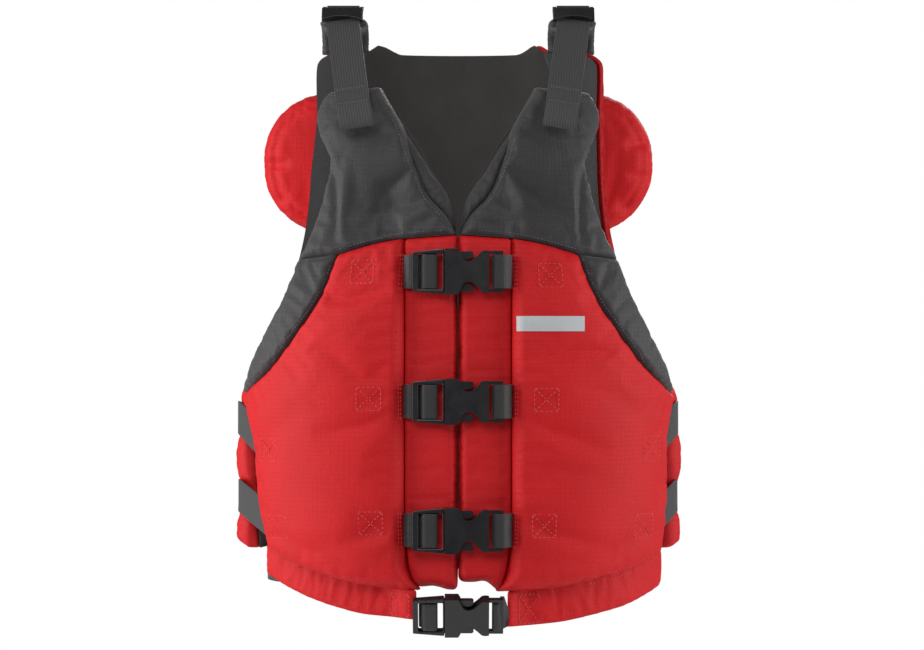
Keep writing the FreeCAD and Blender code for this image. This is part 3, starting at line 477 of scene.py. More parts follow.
def sewn_pad(name, edges, place, thick, under, spacing, materials, folds=(), dishes=(), rings=2,
             seed=1.0, reach=16.0, twin=False):
    """A padded panel: an outer sheet that rolls off at its edges, a lining sheet and the
    wall between them. A twin pad has two outer sheets that meet at its edge. Without an
    offset under it, it is a thin sheet. Its materials are the outer, lining and wall cloth."""
    loop = []
    sewn = []
    for part in edges:
        points = evenly(part["line"], spacing)[:-1]
        loop.append(points)
        sewn += [part["sewn"]] * len(points)
    loop = np.vstack(loop)
    sewn = np.array(sewn)
    sewn |= np.roll(sewn, 1)
    count = len(loop)
    first, last = loop.min(0), loop.max(0)
    rows = []
    for number, height in enumerate(np.arange(first[1], last[1], spacing * 0.866)):
        across = np.arange(first[0] + number % 2 * spacing / 2, last[0], spacing)
        rows.append(np.stack([across, np.full_like(across, height)], -1))
    grid = np.vstack(rows)
    grid = grid[inside(loop, grid)]
    ring = np.vstack([loop, loop[:1]])
    grid = grid[nearest(ring, grid)[0] > 0.6 * spacing]
    flat = np.vstack([loop, grid])
    joins = [(i, (i + 1) % count) for i in range(count)]
    found = delaunay_2d_cdt([Vector(p) for p in flat], joins, [], 1, 1e-6)
    flat = np.array([tuple(p) for p in found[0]])
    triangles = np.array([tuple(t) for t in found[2]])
    total = len(flat)

    top = np.array(thick(flat[:, 0], flat[:, 1]), float)
    dip = np.zeros(total)
    for number, part in enumerate(edges):
        away, along = nearest(part["line"], flat)
        share = np.clip(away / part["roll"], 0.0, 1.0)
        dip = np.maximum(dip, part["drop"] * (1.0 - np.sqrt(1.0 - (1.0 - share) ** 2)))
        if part["pucker"]:
            ripple = waves(along, PUCKER_PITCH, seed + 3.7 * number)
            top -= part["pucker"] * ripple * np.exp(-away / reach) * (1.0 - np.exp(-away / 4.0))
    for line, depth, width in folds:
        away, along = nearest(line, flat)
        length = along.max()
        ends = np.clip(np.minimum(along, length - along) / max(0.3 * length, 1.0), 0.0, 1.0)
        top -= depth * np.exp(-((away / width) ** 2)) * np.sqrt(ends)
    for (middle, height), (wide, tall), depth in dishes:
        far = ((flat[:, 0] - middle) / wide) ** 2 + ((flat[:, 1] - height) / tall) ** 2
        top -= depth * np.exp(-far)
    top -= dip

    index = np.arange(total)
    wall_slot = 2 if len(materials) > 2 else 0
    if twin:
        points = [place(flat[:, 0], flat[:, 1], top)]
        points.append(place(flat[count:, 0], flat[count:, 1], -top[count:]))
        uv = [flat, flat[count:] + [2.0 * (last[0] - first[0]), 0.0]]
        behind = np.where(index < count, index, index + total - count)
        faces = [tuple(t) for t in triangles] + [tuple(behind[t[::-1]]) for t in triangles]
        slots = [0] * len(faces)
        pinned = np.zeros(2 * total - count, bool)
        pinned[:count] = True
    else:
        if under is None:
            low = top - LINER
        else:
            low = np.full(total, float(under))
            top = np.maximum(top, low + 1.0)
        middle = np.roll(loop, -1, 0) - np.roll(loop, 1, 0)
        out = np.stack([middle[:, 1], -middle[:, 0]], -1)
        out /= np.maximum(np.linalg.norm(out, axis=1, keepdims=True), 1e-9)
        area = np.sum(loop[:, 0] * np.roll(loop[:, 1], -1) - np.roll(loop[:, 0], -1) * loop[:, 1])
        out *= np.sign(area)
        points = [place(flat[:, 0], flat[:, 1], top)]
        uv = [flat]
        pinned = [np.concatenate([sewn, np.zeros(total - count, bool)])]
        for number in range(rings):
            share = (number + 1.0) / (rings + 1.0)
            offset = top[:count] * (1.0 - share) + low[:count] * share
            points.append(place(loop[:, 0], loop[:, 1], offset))
            uv.append(loop + out * (top[:count] - offset)[:, None])
            pinned.append(sewn)
        points.append(place(flat[:, 0], flat[:, 1], low))
        uv.append(flat)
        pinned = np.concatenate(pinned + [np.ones(total, bool)])
        base = total + rings * count
        faces = [tuple(t) for t in triangles]
        slots = [0] * len(faces)
        starts = [0] + [total + count * number for number in range(rings)] + [base]
        for upper, lower in zip(starts, starts[1:]):
            for i in range(count):
                j = (i + 1) % count
                faces.append((upper + i, lower + i, lower + j, upper + j))
                slots.append(wall_slot)
        faces += [tuple(base + t[::-1]) for t in triangles]
        slots += [min(1, len(materials) - 1)] * len(triangles)
    piece = new_piece(name, np.vstack(points), faces, np.vstack(uv), materials, slots)
    outward(piece)
    group = piece.vertex_groups.new(name="sewn")
    group.add(np.flatnonzero(pinned).tolist(), 1.0, "REPLACE")
    return piece


CLOTH_FRAMES = 20


def inflate(pads):
    """Swells the pads as sewn cloth under pressure, held at their seams. Each pad comes
    with its pressure, how much longer its cloth is than its shape, and its cap in mm."""
    for piece, pressure, slack, cap in pads:
        cloth = piece.modifiers.new("cloth", "CLOTH")
        settings = cloth.settings
        settings.quality = 5
        settings.mass = 0.2
        settings.tension_stiffness = 18.0
        settings.compression_stiffness = 18.0
        settings.shear_stiffness = 6.0
        settings.bending_stiffness = 0.6
        settings.use_pressure = True
        settings.uniform_pressure_force = pressure
        settings.shrink_min = -slack
        settings.shrink_max = -slack
        settings.vertex_group_mass = "sewn"
        settings.effector_weights.gravity = 0.0
        cloth.collision_settings.use_collision = False
        cloth.point_cache.frame_start = 1
        cloth.point_cache.frame_end = CLOTH_FRAMES
    for number in range(1, CLOTH_FRAMES + 1):
        bpy.context.scene.frame_set(number)
    shown = bpy.context.evaluated_depsgraph_get()
    for piece, pressure, slack, cap in pads:
        count = len(piece.data.vertices)
        rest = np.zeros(3 * count)
        piece.data.vertices.foreach_get("co", rest)
        swollen = np.zeros(3 * count)
        piece.evaluated_get(shown).data.vertices.foreach_get("co", swollen)
        move = (swollen - rest).reshape(-1, 3)
        far = np.linalg.norm(move, axis=1, keepdims=True)
        limit = cap * MM
        move *= limit * np.tanh(far / limit) / np.maximum(far, 1e-9)
        piece.data.vertices.foreach_set("co", (rest.reshape(-1, 3) + move).ravel())
    for piece, pressure, slack, cap in pads:
        piece.modifiers.remove(piece.modifiers["cloth"])
    bpy.context.scene.frame_set(1)
    for piece, pressure, slack, cap in pads:
        piece.vertex_groups.clear()
        finer = piece.modifiers.new("finer", "SUBSURF")
        finer.levels = 1
        finer.render_levels = 1
        finer.uv_smooth = "NONE"
        apply_modifiers(piece)
        smooth(piece, 80.0)


def webbing(name, line, across, width, material, thick=1.8, step=3.0, columns=12, ribs=0.0):
    """A flat strap along a smooth line of points in mm; across is its width's direction,
    one for the whole strap or one for each point."""
    line = np.array(line, float)
    across = np.array(across, float)
    if across.ndim == 1:
        across = np.repeat(across[None], len(line), 0)
    both = evenly(spline(np.hstack([line, across * 0.001]), 2.0), step)
    path, across = both[:, :3], both[:, 3:]
    along = np.gradient(path, axis=0)
    along /= np.linalg.norm(along, axis=1, keepdims=True)
    across = across - np.sum(across * along, 1, keepdims=True) * along
    across /= np.linalg.norm(across, axis=1, keepdims=True)
    face = np.cross(along, across)
    clear_selection()
    rows = len(path) - 1
    bpy.ops.mesh.primitive_grid_add(x_subdivisions=columns, y_subdivisions=rows, size=1.0)
    piece = bpy.context.object
    piece.name = name
    piece.data.name = name
    length = step * rows
    co = np.zeros(3 * len(piece.data.vertices))
    piece.data.vertices.foreach_get("co", co)
    co = co.reshape(-1, 3)
    at = (co[:, 1] + 0.5) * rows
    place = np.stack([np.interp(at, np.arange(rows + 1), path[:, k]) for k in range(3)], -1)
    side = np.stack([np.interp(at, np.arange(rows + 1), across[:, k]) for k in range(3)], -1)
    out = np.stack([np.interp(at, np.arange(rows + 1), face[:, k]) for k in range(3)], -1)
    bump = ribs * np.cos(math.pi * np.round((co[:, 0] + 0.5) * columns))
    place += side * (co[:, :1] * width) + out * bump[:, None]
    uv = np.stack([co[:, 0] * width, at * length / rows], -1)
    piece.data.vertices.foreach_set("co", (place * MM).ravel())
    layer = piece.data.uv_layers[0]
    layer.name = "cloth"
    corner = np.zeros(len(piece.data.loops), np.int32)
    piece.data.loops.foreach_get("vertex_index", corner)
    layer.data.foreach_set("uv", (uv[corner] * MM).astype(np.float32).ravel())
    piece.data.update()
    piece.data.materials.append(material)
    wall = piece.modifiers.new("wall", "SOLIDIFY")
    wall.thickness = thick * MM
    wall.offset = 0.0
    wall.use_even_offset = False
    rim = piece.modifiers.new("rim", "BEVEL")
    rim.limit_method = "ANGLE"
    rim.angle_limit = math.radians(50.0)
    rim.width = 0.22 * thick * MM
    rim.segments = 2
    apply_modifiers(piece)
    outward(piece)
    smooth(piece, 50.0)
    return piece


def joined(name, parts):
    """Several pieces as one object."""
    pick(parts[0])
    for part in parts[1:]:
        part.select_set(True)
    if len(parts) > 1:
        bpy.ops.object.join()
    piece = bpy.context.view_layer.objects.active
    piece.name = name
    piece.data.name = name
    return piece


def surface_of(pieces):
    """A tree to find places on several pieces' surfaces."""
    points, faces = [], []
    for piece in pieces:
        base = len(points)
        points += [tuple(v.co) for v in piece.data.vertices]
        faces += [tuple(base + i for i in p.vertices) for p in piece.data.polygons]
    return BVHTree.FromPolygons(points, faces)


def laid(tree, place, line, far=95.0, near=-5.0):
    """Points and normals where a pattern line lies on a surface, in metres."""
    line = evenly(line, 2.5)
    count = len(line)
    start = place(line[:, 0], line[:, 1], np.full(count, far)) * MM
    end = place(line[:, 0], line[:, 1], np.full(count, near)) * MM
    found = []
    for a, b in zip(start, end):
        a, b = Vector(a), Vector(b)
        hit, normal = tree.ray_cast(a, (b - a).normalized(), (b - a).length)[:2]
        if hit is not None:
            found.append((hit, normal))
    return found


STITCH_RING = 5


def stitch_shape():
    """One stitch of unit length along X, flattened into the cloth: points and faces."""
    points = [(-0.5, 0.0, 0.0)]
    for x, size in ((-0.32, 0.9), (0.32, 0.9)):
        for k in range(STITCH_RING):
            turn = 2.0 * math.pi * k / STITCH_RING
            points.append((x, size * math.cos(turn), size * math.sin(turn)))
    points.append((0.5, 0.0, 0.0))
    last = len(points) - 1
    faces = []
    for k in range(STITCH_RING):
        j = (k + 1) % STITCH_RING
        faces.append((0, 1 + j, 1 + k))
        faces.append((1 + k, 1 + j, 1 + STITCH_RING + j, 1 + STITCH_RING + k))
        faces.append((1 + STITCH_RING + k, 1 + STITCH_RING + j, last))
    return np.array(points), faces


STITCH_POINTS, STITCH_FACES = stitch_shape()
STITCH_GAP = 0.35  # share of the pitch between two stitches
THREAD_LIFT = 0.2  # of a stitch's middle above the cloth
THREAD = 0.5  # radius in mm; the real one is 0.25, drawn thicker so that it shows


def stitches(name, runs, material, pitch=4.6, thread=THREAD):
    """Rows of stitches on laid lines, each a list of (point, normal)."""
    points, faces = [], []
    for run in runs:
        if len(run) < 2:
            continue
        line = np.array([[*p, *n] for p, n in run])
        line = evenly(line, 1.0)
        steps = np.linalg.norm(np.diff(line[:, :3], axis=0), axis=1)
        lengths = np.concatenate([[0.0], np.cumsum(steps)])
        count = max(1, int(lengths[-1] / (pitch * MM)))
        for number in range(count):
            ends = (np.array([number + STITCH_GAP / 2, number + 1 - STITCH_GAP / 2])) / count
            at = ends * lengths[-1]
            pair = np.stack([np.interp(at, lengths, line[:, k]) for k in range(6)], -1)
            along = Vector(pair[1, :3] - pair[0, :3])
            length = along.length
            if length < 1e-5:
                continue
            along.normalize()
            up = Vector(pair[:, 3:].mean(0)).normalized()
            side = up.cross(along).normalized()
            up = along.cross(side)
            middle = Vector(pair[:, :3].mean(0)) + up * THREAD_LIFT * MM
            base = len(points)
            for x, y, z in STITCH_POINTS:
                points.append(middle + along * x * length + side * y * thread * MM + up * z * thread * MM)
            faces += [tuple(base + i for i in face) for face in STITCH_FACES]
    mesh = bpy.data.meshes.new(name)
    mesh.from_pydata([tuple(p) for p in points], [], faces)
    mesh.materials.append(material)
    mesh.update()
    piece = bpy.data.objects.new(name, mesh)
    bpy.context.scene.collection.objects.link(piece)
    smooth(piece, 70.0)
    return piece


# ------------------------------------------------------------- front panel patterns

POUCH_MIDDLE = 42.0
POUCH_INNER = 33.0
POUCH_SIDE = 28.0
YOKE_THICK = 25.0
PLACKET_THICK = 21.0
BACK_THICK = 26.0
LINER = 1.5
SWELL = 4.0  # room left for the cloth to swell

SIDE_EDGE = [(214.0, 40.0), (222.0, 88.0), (232.0, 145.0), (240.0, 225.0), (253.0, 268.0)]
NECK_EDGE = [(4.0, 473.0), (12.0, 500.0), (29.0, 522.0), (53.0, 560.0), (93.0, 610.0)]
NECK_SEAM = [
    (6.0, 461.0), (15.5, 475.0), (38.0, 501.0), (55.4, 543.0), (63.0, 569.0), (73.0, 587.0),
    (88.0, 611.0),
]
FACING_EDGE = [
    (62.0, 566.0), (48.0, 547.0), (32.0, 523.0), (18.5, 506.0), (9.5, 490.0), (5.0, 474.0),
    (4.0, 459.0),
]
ARMHOLE_TOP = [(158.0, 612.0), (166.0, 592.0), (165.0, 572.0)]
ARMHOLE_NOTCH = [(165.0, 572.0), (154.0, 540.0), (159.0, 500.0), (172.0, 455.0), (184.0, 424.0)]
ARMHOLE_LOW = [(184.0, 424.0), (198.0, 379.0), (237.0, 309.0), (253.0, 269.0)]
YOKE_SEAM = [(2.0, 452.0), (61.0, 448.0), (98.0, 441.0), (135.0, 430.0)]
POUCH_TOP = [(61.0, 448.0), (98.0, 441.0), (135.0, 430.0)]
PANEL_TOP_SEAM = [(135.0, 430.0), (184.0, 424.0)]
PANEL_INNER_SEAM = [(135.0, 430.0), (154.0, 373.0), (203.0, 305.0), (253.0, 267.0)]
POUCH_SIDE_EDGE = [(222.0, 88.0), (232.0, 145.0), (240.0, 225.0), (253.0, 267.0)]
PLACKET_TIP = {
    "left": [(0.3, 64.0), (4.0, 60.0), (20.0, 59.5), (31.0, 61.0), (39.0, 56.0), (47.0, 49.0)],
    "right": [(0.3, 56.0), (2.5, 51.0), (12.0, 51.0), (28.0, 55.0), (47.0, 54.0)],
}
BOTTOMS = {
    "right": [
        (44.0, 50.0), (90.0, 53.0), (112.0, 55.0), (134.0, 60.0), (158.0, 66.5), (190.0, 78.0),
        (220.0, 90.0),
    ],
    "left": [
        (44.0, 48.5), (88.0, 49.5), (128.0, 53.5), (169.0, 62.0), (212.0, 72.0), (235.0, 79.0),
    ],
}
ARMPIT = 262.0  # height where the left front begins to flare
FLARE = 14.0  # how much further out its lower corner is
FLARE_FALL = 165.0  # over this height


def bottom_line(x, side):
    """Height of a pouch's bottom seam."""
    points = np.array(BOTTOMS[side])
    return float(np.interp(x, points[:, 0], points[:, 1]))


def flared(points, side):
    if side == "right":
        return points
    return [(x + FLARE * min(max((ARMPIT - z) / FLARE_FALL, 0.0), 1.0), z) for x, z in points]


SIDE_TABLE = np.array(SIDE_EDGE)


def side_reach(height):
    """Cloth length from the middle line to the side edge at each height."""
    low = np.minimum(height, 268.0)
    x = np.interp(low, SIDE_TABLE[:, 1], SIDE_TABLE[:, 0])
    return round_at(x, low, FRONT, POUCH_SIDE)


def puff(around, height):
    """Thickness of the front pads: fullest in the middle of the pouch."""
    share = np.clip(around / side_reach(height), 0.0, 1.0)
    crown = 0.45  # share of the way to the side where the pad is thickest
    near = POUCH_MIDDLE - (POUCH_MIDDLE - POUCH_INNER) * ((crown - share) / crown) ** 2
    far = POUCH_MIDDLE - (POUCH_MIDDLE - POUCH_SIDE) * ((share - crown) / (1.0 - crown)) ** 2
    across = np.where(share < crown, near, far)
    fade = smooth_step((height - 340.0) / 150.0)
    fade = np.maximum(fade, 0.5 * np.clip((120.0 - height) / 80.0, 0.0, 1.0))
    return across + (YOKE_THICK - across) * fade


def backwards(points):
    return points[::-1]


PATCH = 13.0  # half of a sewn square
# middles of the sewn squares
PATCHES = {
    "right": [(112.0, 410.0), (101.0, 267.0), (99.0, 127.0), (216.0, 207.0), (204.0, 120.0)],
    "left": [(107.0, 406.0), (100.0, 266.0), (98.0, 124.0), (221.0, 210.0), (212.0, 121.0)],
}


def on_pouch(x):
    """Offset of the pouch's outer cloth, where things are sewn on it."""
    return 39.0 - 9.0 * float(smooth_step((x - 150.0) / 60.0))


# creases in the pouches and yokes: line on the front view, depth, width
FRONT_FOLDS = {"left": {"panel": []}, "right": {"panel": []}}
FRONT_FOLDS["right"]["pouch"] = [
    ([(64.0, 135.0), (110.0, 108.0), (160.0, 100.0)], 3.0, 11.0),
    ([(64.0, 282.0), (105.0, 300.0), (150.0, 330.0)], 2.4, 13.0),
    ([(64.0, 250.0), (100.0, 236.0), (150.0, 226.0)], 2.0, 12.0),
    ([(80.0, 74.0), (140.0, 90.0), (210.0, 112.0)], 2.6, 8.0),
    ([(236.0, 200.0), (200.0, 224.0), (160.0, 262.0)], 2.4, 14.0),
    ([(70.0, 395.0), (110.0, 380.0), (150.0, 384.0)], 2.0, 12.0),
]
FRONT_FOLDS["left"]["pouch"] = [
    ([(64.0, 140.0), (100.0, 116.0), (170.0, 96.0)], 3.0, 10.0),
    ([(64.0, 250.0), (110.0, 225.0), (160.0, 205.0)], 2.4, 13.0),
    ([(64.0, 300.0), (110.0, 318.0), (170.0, 322.0)], 2.0, 13.0),
    ([(90.0, 78.0), (150.0, 88.0), (214.0, 118.0)], 2.6, 8.0),
    ([(238.0, 215.0), (200.0, 238.0), (150.0, 284.0)], 2.4, 14.0),
    ([(66.0, 172.0), (110.0, 186.0), (160.0, 176.0)], 1.8, 12.0),
]
# broad hollows and swells: (middle, height), (half width, half height), depth
YOKE_DISHES = [
    ((96.0, 484.0), (34.0, 44.0), 10.0),
    ((146.0, 500.0), (9.0, 60.0), -3.0),
    ((70.0, 560.0), (20.0, 20.0), -2.0),
]
FRONT_FOLDS["right"]["yoke"] = [
    ([(150.0, 545.0), (139.0, 500.0), (137.0, 440.0)], 3.5, 6.0),
    ([(128.0, 560.0), (118.0, 520.0), (112.0, 470.0)], 2.4, 12.0),
    ([(30.0, 500.0), (52.0, 488.0), (84.0, 486.0)], 2.4, 8.0),
    ([(50.0, 535.0), (70.0, 512.0), (96.0, 500.0)], 2.0, 9.0),
    ([(20.0, 470.0), (50.0, 462.0), (95.0, 455.0)], 1.8, 7.0),
]
FRONT_FOLDS["left"]["yoke"] = [
    ([(150.0, 548.0), (140.0, 505.0), (136.0, 438.0)], 3.5, 6.0),
    ([(126.0, 565.0), (112.0, 520.0), (104.0, 470.0)], 2.4, 12.0),
    ([(26.0, 496.0), (54.0, 480.0), (90.0, 478.0)], 2.4, 8.0),
    ([(46.0, 530.0), (72.0, 505.0), (98.0, 492.0)], 2.0, 9.0),
    ([(18.0, 466.0), (48.0, 460.0), (90.0, 448.0)], 1.8, 7.0),
]


def front_pads(side):
    """The padded panels of one front, and its lining."""
    sign = SIDES[side]
    place = torso_place(FRONT, sign)
    folds = {
        key: [(drawn(points), depth, width) for points, depth, width in lines]
        for key, lines in FRONT_FOLDS[side].items()
    }
    seed = 1.3 if side == "left" else 4.9

    def full(around, height):
        return puff(around, height) - SWELL

    under = LINER + 0.4
    bottom = BOTTOMS[side]
    side_line = flared(POUCH_SIDE_EDGE, side)
    pressed = []
    for x, z in PATCHES[side]:
        around = float(round_at(x, z, FRONT, on_pouch(x)))
        pressed.append(((around, z), (PATCH, PATCH), 2.2))
    pouch = sewn_pad(
        side + "_pouch_pad",
        [
            edge(drawn([(61.0, 448.0), (61.0, 110.0)]), 12.0, 13.0, True, 1.2),
            edge(drawn([(61.0, 110.0), (56.0, 72.0), bottom[0]]), 17.0, 13.0, False, 1.2),
            edge(drawn(bottom), 17.0, 14.0, False, 1.6),
            edge(drawn([bottom[-1]] + side_line[1:]), 16.0, 16.0, False, 1.6),
            edge(drawn(backwards(PANEL_INNER_SEAM)), 6.0, 11.0, True, 1.4),
            edge(drawn(backwards(POUCH_TOP)), 5.0, 10.0, True, 1.2),
        ],
        place, full, under, 5.5, [RED, LINING], folds["pouch"], pressed, seed=seed,
    )
    yoke = sewn_pad(
        side + "_yoke_pad",
        [
            edge(drawn(YOKE_SEAM), 4.0, 9.0, True, 1.6),
            edge(drawn(PANEL_TOP_SEAM), 4.0, 9.0, True, 1.2),
            edge(drawn(backwards(ARMHOLE_NOTCH)), 13.0, 13.0, False, 2.2),
            edge(drawn(backwards(ARMHOLE_TOP)), 13.0, 12.0, False, 1.6),
            edge(drawn([(158.0, 612.0), (151.0, 618.0)]), 9.0, 8.0),
            edge(drawn([(151.0, 618.0), (94.0, 622.0)]), 9.0, 8.0, False, 1.8),
            edge(drawn([(94.0, 622.0), (88.0, 611.0)]), 9.0, 8.0),
            edge(drawn(backwards(NECK_SEAM)), 9.0, 11.0, True, 1.6),
            edge(drawn([(6.0, 461.0), (2.0, 452.0)]), 8.0, 8.0),
        ],
        place, full, under, 5.5, [CHARCOAL, LINING], folds["yoke"], YOKE_DISHES, seed=seed + 2.0,
    )
    facing = sewn_pad(
        side + "_neck_facing",
        [
            edge(drawn(NECK_SEAM[:5]), 2.0, 5.0, True, 1.0),
            edge(drawn([NECK_SEAM[4], FACING_EDGE[0]]), 3.0, 4.0),
            edge(drawn(FACING_EDGE), 7.0, 13.0, False, 1.2),
            edge(drawn([FACING_EDGE[-1], NECK_SEAM[0]]), 4.0, 5.0),
        ],
        place, lambda a, h: np.full(np.shape(a), 13.0), under, 4.0, [CHARCOAL, CHARCOAL],
        seed=seed + 9.0, reach=9.0,
    )
    panel = sewn_pad(
        side + "_armhole_pad",
        [
            edge(drawn(PANEL_INNER_SEAM), 5.0, 9.0, True, 1.6),
            edge(drawn([(253.0, 267.0), (253.0, 269.0)]), 8.0, 8.0),
            edge(drawn(backwards(ARMHOLE_LOW)), 14.0, 14.0, False, 1.8),
            edge(drawn(backwards(PANEL_TOP_SEAM)), 4.0, 9.0, True, 1.2),
        ],
        place, full, under, 5.0, [CHARCOAL, LINING], folds["panel"], seed=seed + 5.0,
    )
    tip = PLACKET_TIP[side]
    placket = sewn_pad(
        side + "_placket_pad",
        [
            edge(drawn([(0.3, 451.6), (0.3, tip[0][1])]), 7.0, 7.0, False, 0.5),
            edge(drawn(tip), 9.0, 9.0),
            edge(drawn([tip[-1], (55.0, 72.0), (60.4, 110.0)]), 2.0, 6.0, True),
            edge(drawn([(60.4, 110.0), (60.4, 447.6)]), 1.0, 5.0, True, 0.8),
            edge(drawn([(60.4, 447.6), (0.3, 451.6)]), 3.0, 7.0, True, 1.0),
        ],
        place, lambda a, h: np.full(np.shape(a), PLACKET_THICK - 1.5), under, 6.0, [RED, LINING],
        seed=seed + 7.0,
    )
    lining = sewn_pad(
        side + "_front_lining",
        [
            edge(drawn([(2.0, 452.0), (2.0, 70.0)]), 0.0, 4.0),
            edge(drawn([(2.0, 70.0), (20.0, 68.0), (49.0, 62.0)]), 0.0, 4.0),
            edge(drawn([(49.0, 62.0), side_line[0]]), 0.0, 4.0),
            edge(drawn(side_line), 0.0, 4.0),
            edge(drawn(backwards(ARMHOLE_LOW)), 0.0, 4.0),
            edge(drawn(backwards(ARMHOLE_NOTCH)), 0.0, 4.0),
            edge(drawn(backwards(ARMHOLE_TOP)), 0.0, 4.0),
            edge(drawn([(156.0, 606.0), (150.0, 614.0)]), 0.0, 4.0),
            edge(drawn([(150.0, 614.0), (98.0, 614.0)]), 0.0, 4.0),
            edge(drawn([(98.0, 614.0), (93.0, 610.0)]), 0.0, 4.0),
            edge(drawn(backwards(NECK_EDGE)), 0.0, 4.0),
            edge(drawn([(4.0, 473.0), (2.0, 452.0)]), 0.0, 4.0),
        ],
        place, lambda a, h: np.full(np.shape(a), LINER), None, 9.0, [LINING], rings=0,
    )
    return pouch, yoke, facing, panel, placket, lining


TUNNEL_TALL = {"right": 33.0, "left": 40.0}
TUNNEL_INNER = {"right": 45.0, "left": 54.0}  # its end at the waist buckle
TUNNEL_TUCK = 9.0  # of its top behind the pouch
BOX_ENDS = {"right": (53.0, 76.0), "left": (68.0, 92.0)}  # of the crossed box sewn on it


def tunnel_shift(around):
    """How far the tunnel comes forward towards the waist buckle."""
    return 10.0 * smooth_step((90.0 - around) / 40.0)


def band_pad(side):
    """The red tunnel that the waist belt runs in, below the pouches."""
    sign = SIDES[side]
    ends = np.linspace(TUNNEL_INNER[side], BOTTOMS[side][-1][0] + 1.0, 9)
    top, low = [], []
    for x in ends:
        seam = bottom_line(x, side)
        top.append((x, seam + TUNNEL_TUCK * min(1.0, (x - ends[0]) / 30.0)))
        low.append((x, seam - TUNNEL_TALL[side] + 6.0 * max(0.0, x - 190.0) / 40.0))

    def place(around, height, offset):
        return on_torso(sign * around, height, FRONT, offset + tunnel_shift(around))

    lines = [
        (low, 2.0, 4.0, 0.9),
        ([low[-1], top[-1]], 1.5, 3.0, 0.0),
        (backwards(top), 2.0, 4.0, 0.6),
        ([top[0], low[0]], 1.0, 3.0, 0.0),
    ]
    return sewn_pad(
        side + "_waistband_tunnel",
        [edge(drawn(line, offset=6.0), drop, roll, True, pucker) for line, drop, roll, pucker in lines],
        place, lambda a, h: np.full(np.shape(a), 8.6), 2.6, 4.0, [RED, RED],
        rings=0, seed=2.0 + sign, reach=10.0,
    )


# --------------------------------------------------------------------- back pattern

SIDE_STRAPS = {"upper": (216.0, 240.0), "lower": (124.0, 148.0)}  # heights in front, behind
BACK_ARMHOLE = [(262.0, 268.0), (215.0, 350.0), (190.0, 430.0), (178.0, 500.0), (173.0, 600.0)]
BACK_END = 88.0  # degrees round from the middle of the back
BACK_SHOULDER = [(173.0, 600.0), (173.0, 650.0), (169.0, 664.0), (158.0, 672.0)]
BACK_TOP = [(158.0, 672.0), (128.0, 674.0), (112.0, 677.0), (99.0, 685.0)]
BACK_NECK = [
    (99.0, 685.0), (90.0, 683.0), (76.0, 676.5), (60.0, 674.0),
    (-60.0, 674.0), (-76.0, 676.5), (-90.0, 683.0), (-99.0, 685.0),
]
FACING_INNER = [
    (112.0, 676.0), (120.0, 655.0), (140.0, 636.0), (147.0, 600.0),
    (151.0, 500.0), (164.0, 430.0), (190.0, 350.0), (234.0, 270.0),
]


def back_row(points):
    """An edge line of the back, kept within its ends under the arms."""
    line = drawn(points, BACK, UPRIGHT)
    line[:, 0] = np.clip(line[:, 0], -round_at_turn(BACK_END), round_at_turn(BACK_END))
    return line


def flipped(points):
    return [(-x, z) for x, z in reversed(points)]


def back_edges(drop, roll, pucker, neck_pucker):
    """The back's outline, from the lower right corner round to it again."""
    end = round_at_turn(BACK_END)
    return [
        edge(np.array([(-end, 88.0), (end, 88.0)]), drop, roll, False, pucker),
        edge(np.array([(end, 88.0), (end, 268.0)]), drop, roll, False, pucker),
        edge(back_row(BACK_ARMHOLE), drop, roll, False, pucker),
        edge(back_row(BACK_SHOULDER), drop, roll),
        edge(back_row(BACK_TOP), drop, roll),
        edge(back_row(BACK_NECK), drop, roll, False, neck_pucker),
        edge(back_row(flipped(BACK_TOP)), drop, roll),
        edge(back_row(flipped(BACK_SHOULDER)), drop, roll),
        edge(back_row(flipped(BACK_ARMHOLE)), drop, roll, False, pucker),
        edge(np.array([(-end, 268.0), (-end, 88.0)]), drop, roll, False, pucker),
    ]


# sewn channels: line on the back, depth, width
BACK_SEAMS = [
    ([(-250.0, 268.0), (250.0, 268.0)], 8.0, 6.0),
    ([(-120.0, 268.0), (-120.0, 92.0)], 7.0, 6.0),
    ([(120.0, 268.0), (120.0, 92.0)], 7.0, 6.0),
    ([(-188.0, 440.0), (0.0, 452.0), (188.0, 440.0)], 8.0, 6.0),
]
STRAP_SQUEEZE = 13.0
LOBE_SWELL = 9.0  # of the back's sides below the armholes
ROLL_SHOWN = 14.0  # width of the outer cloth that shows inside the left armhole


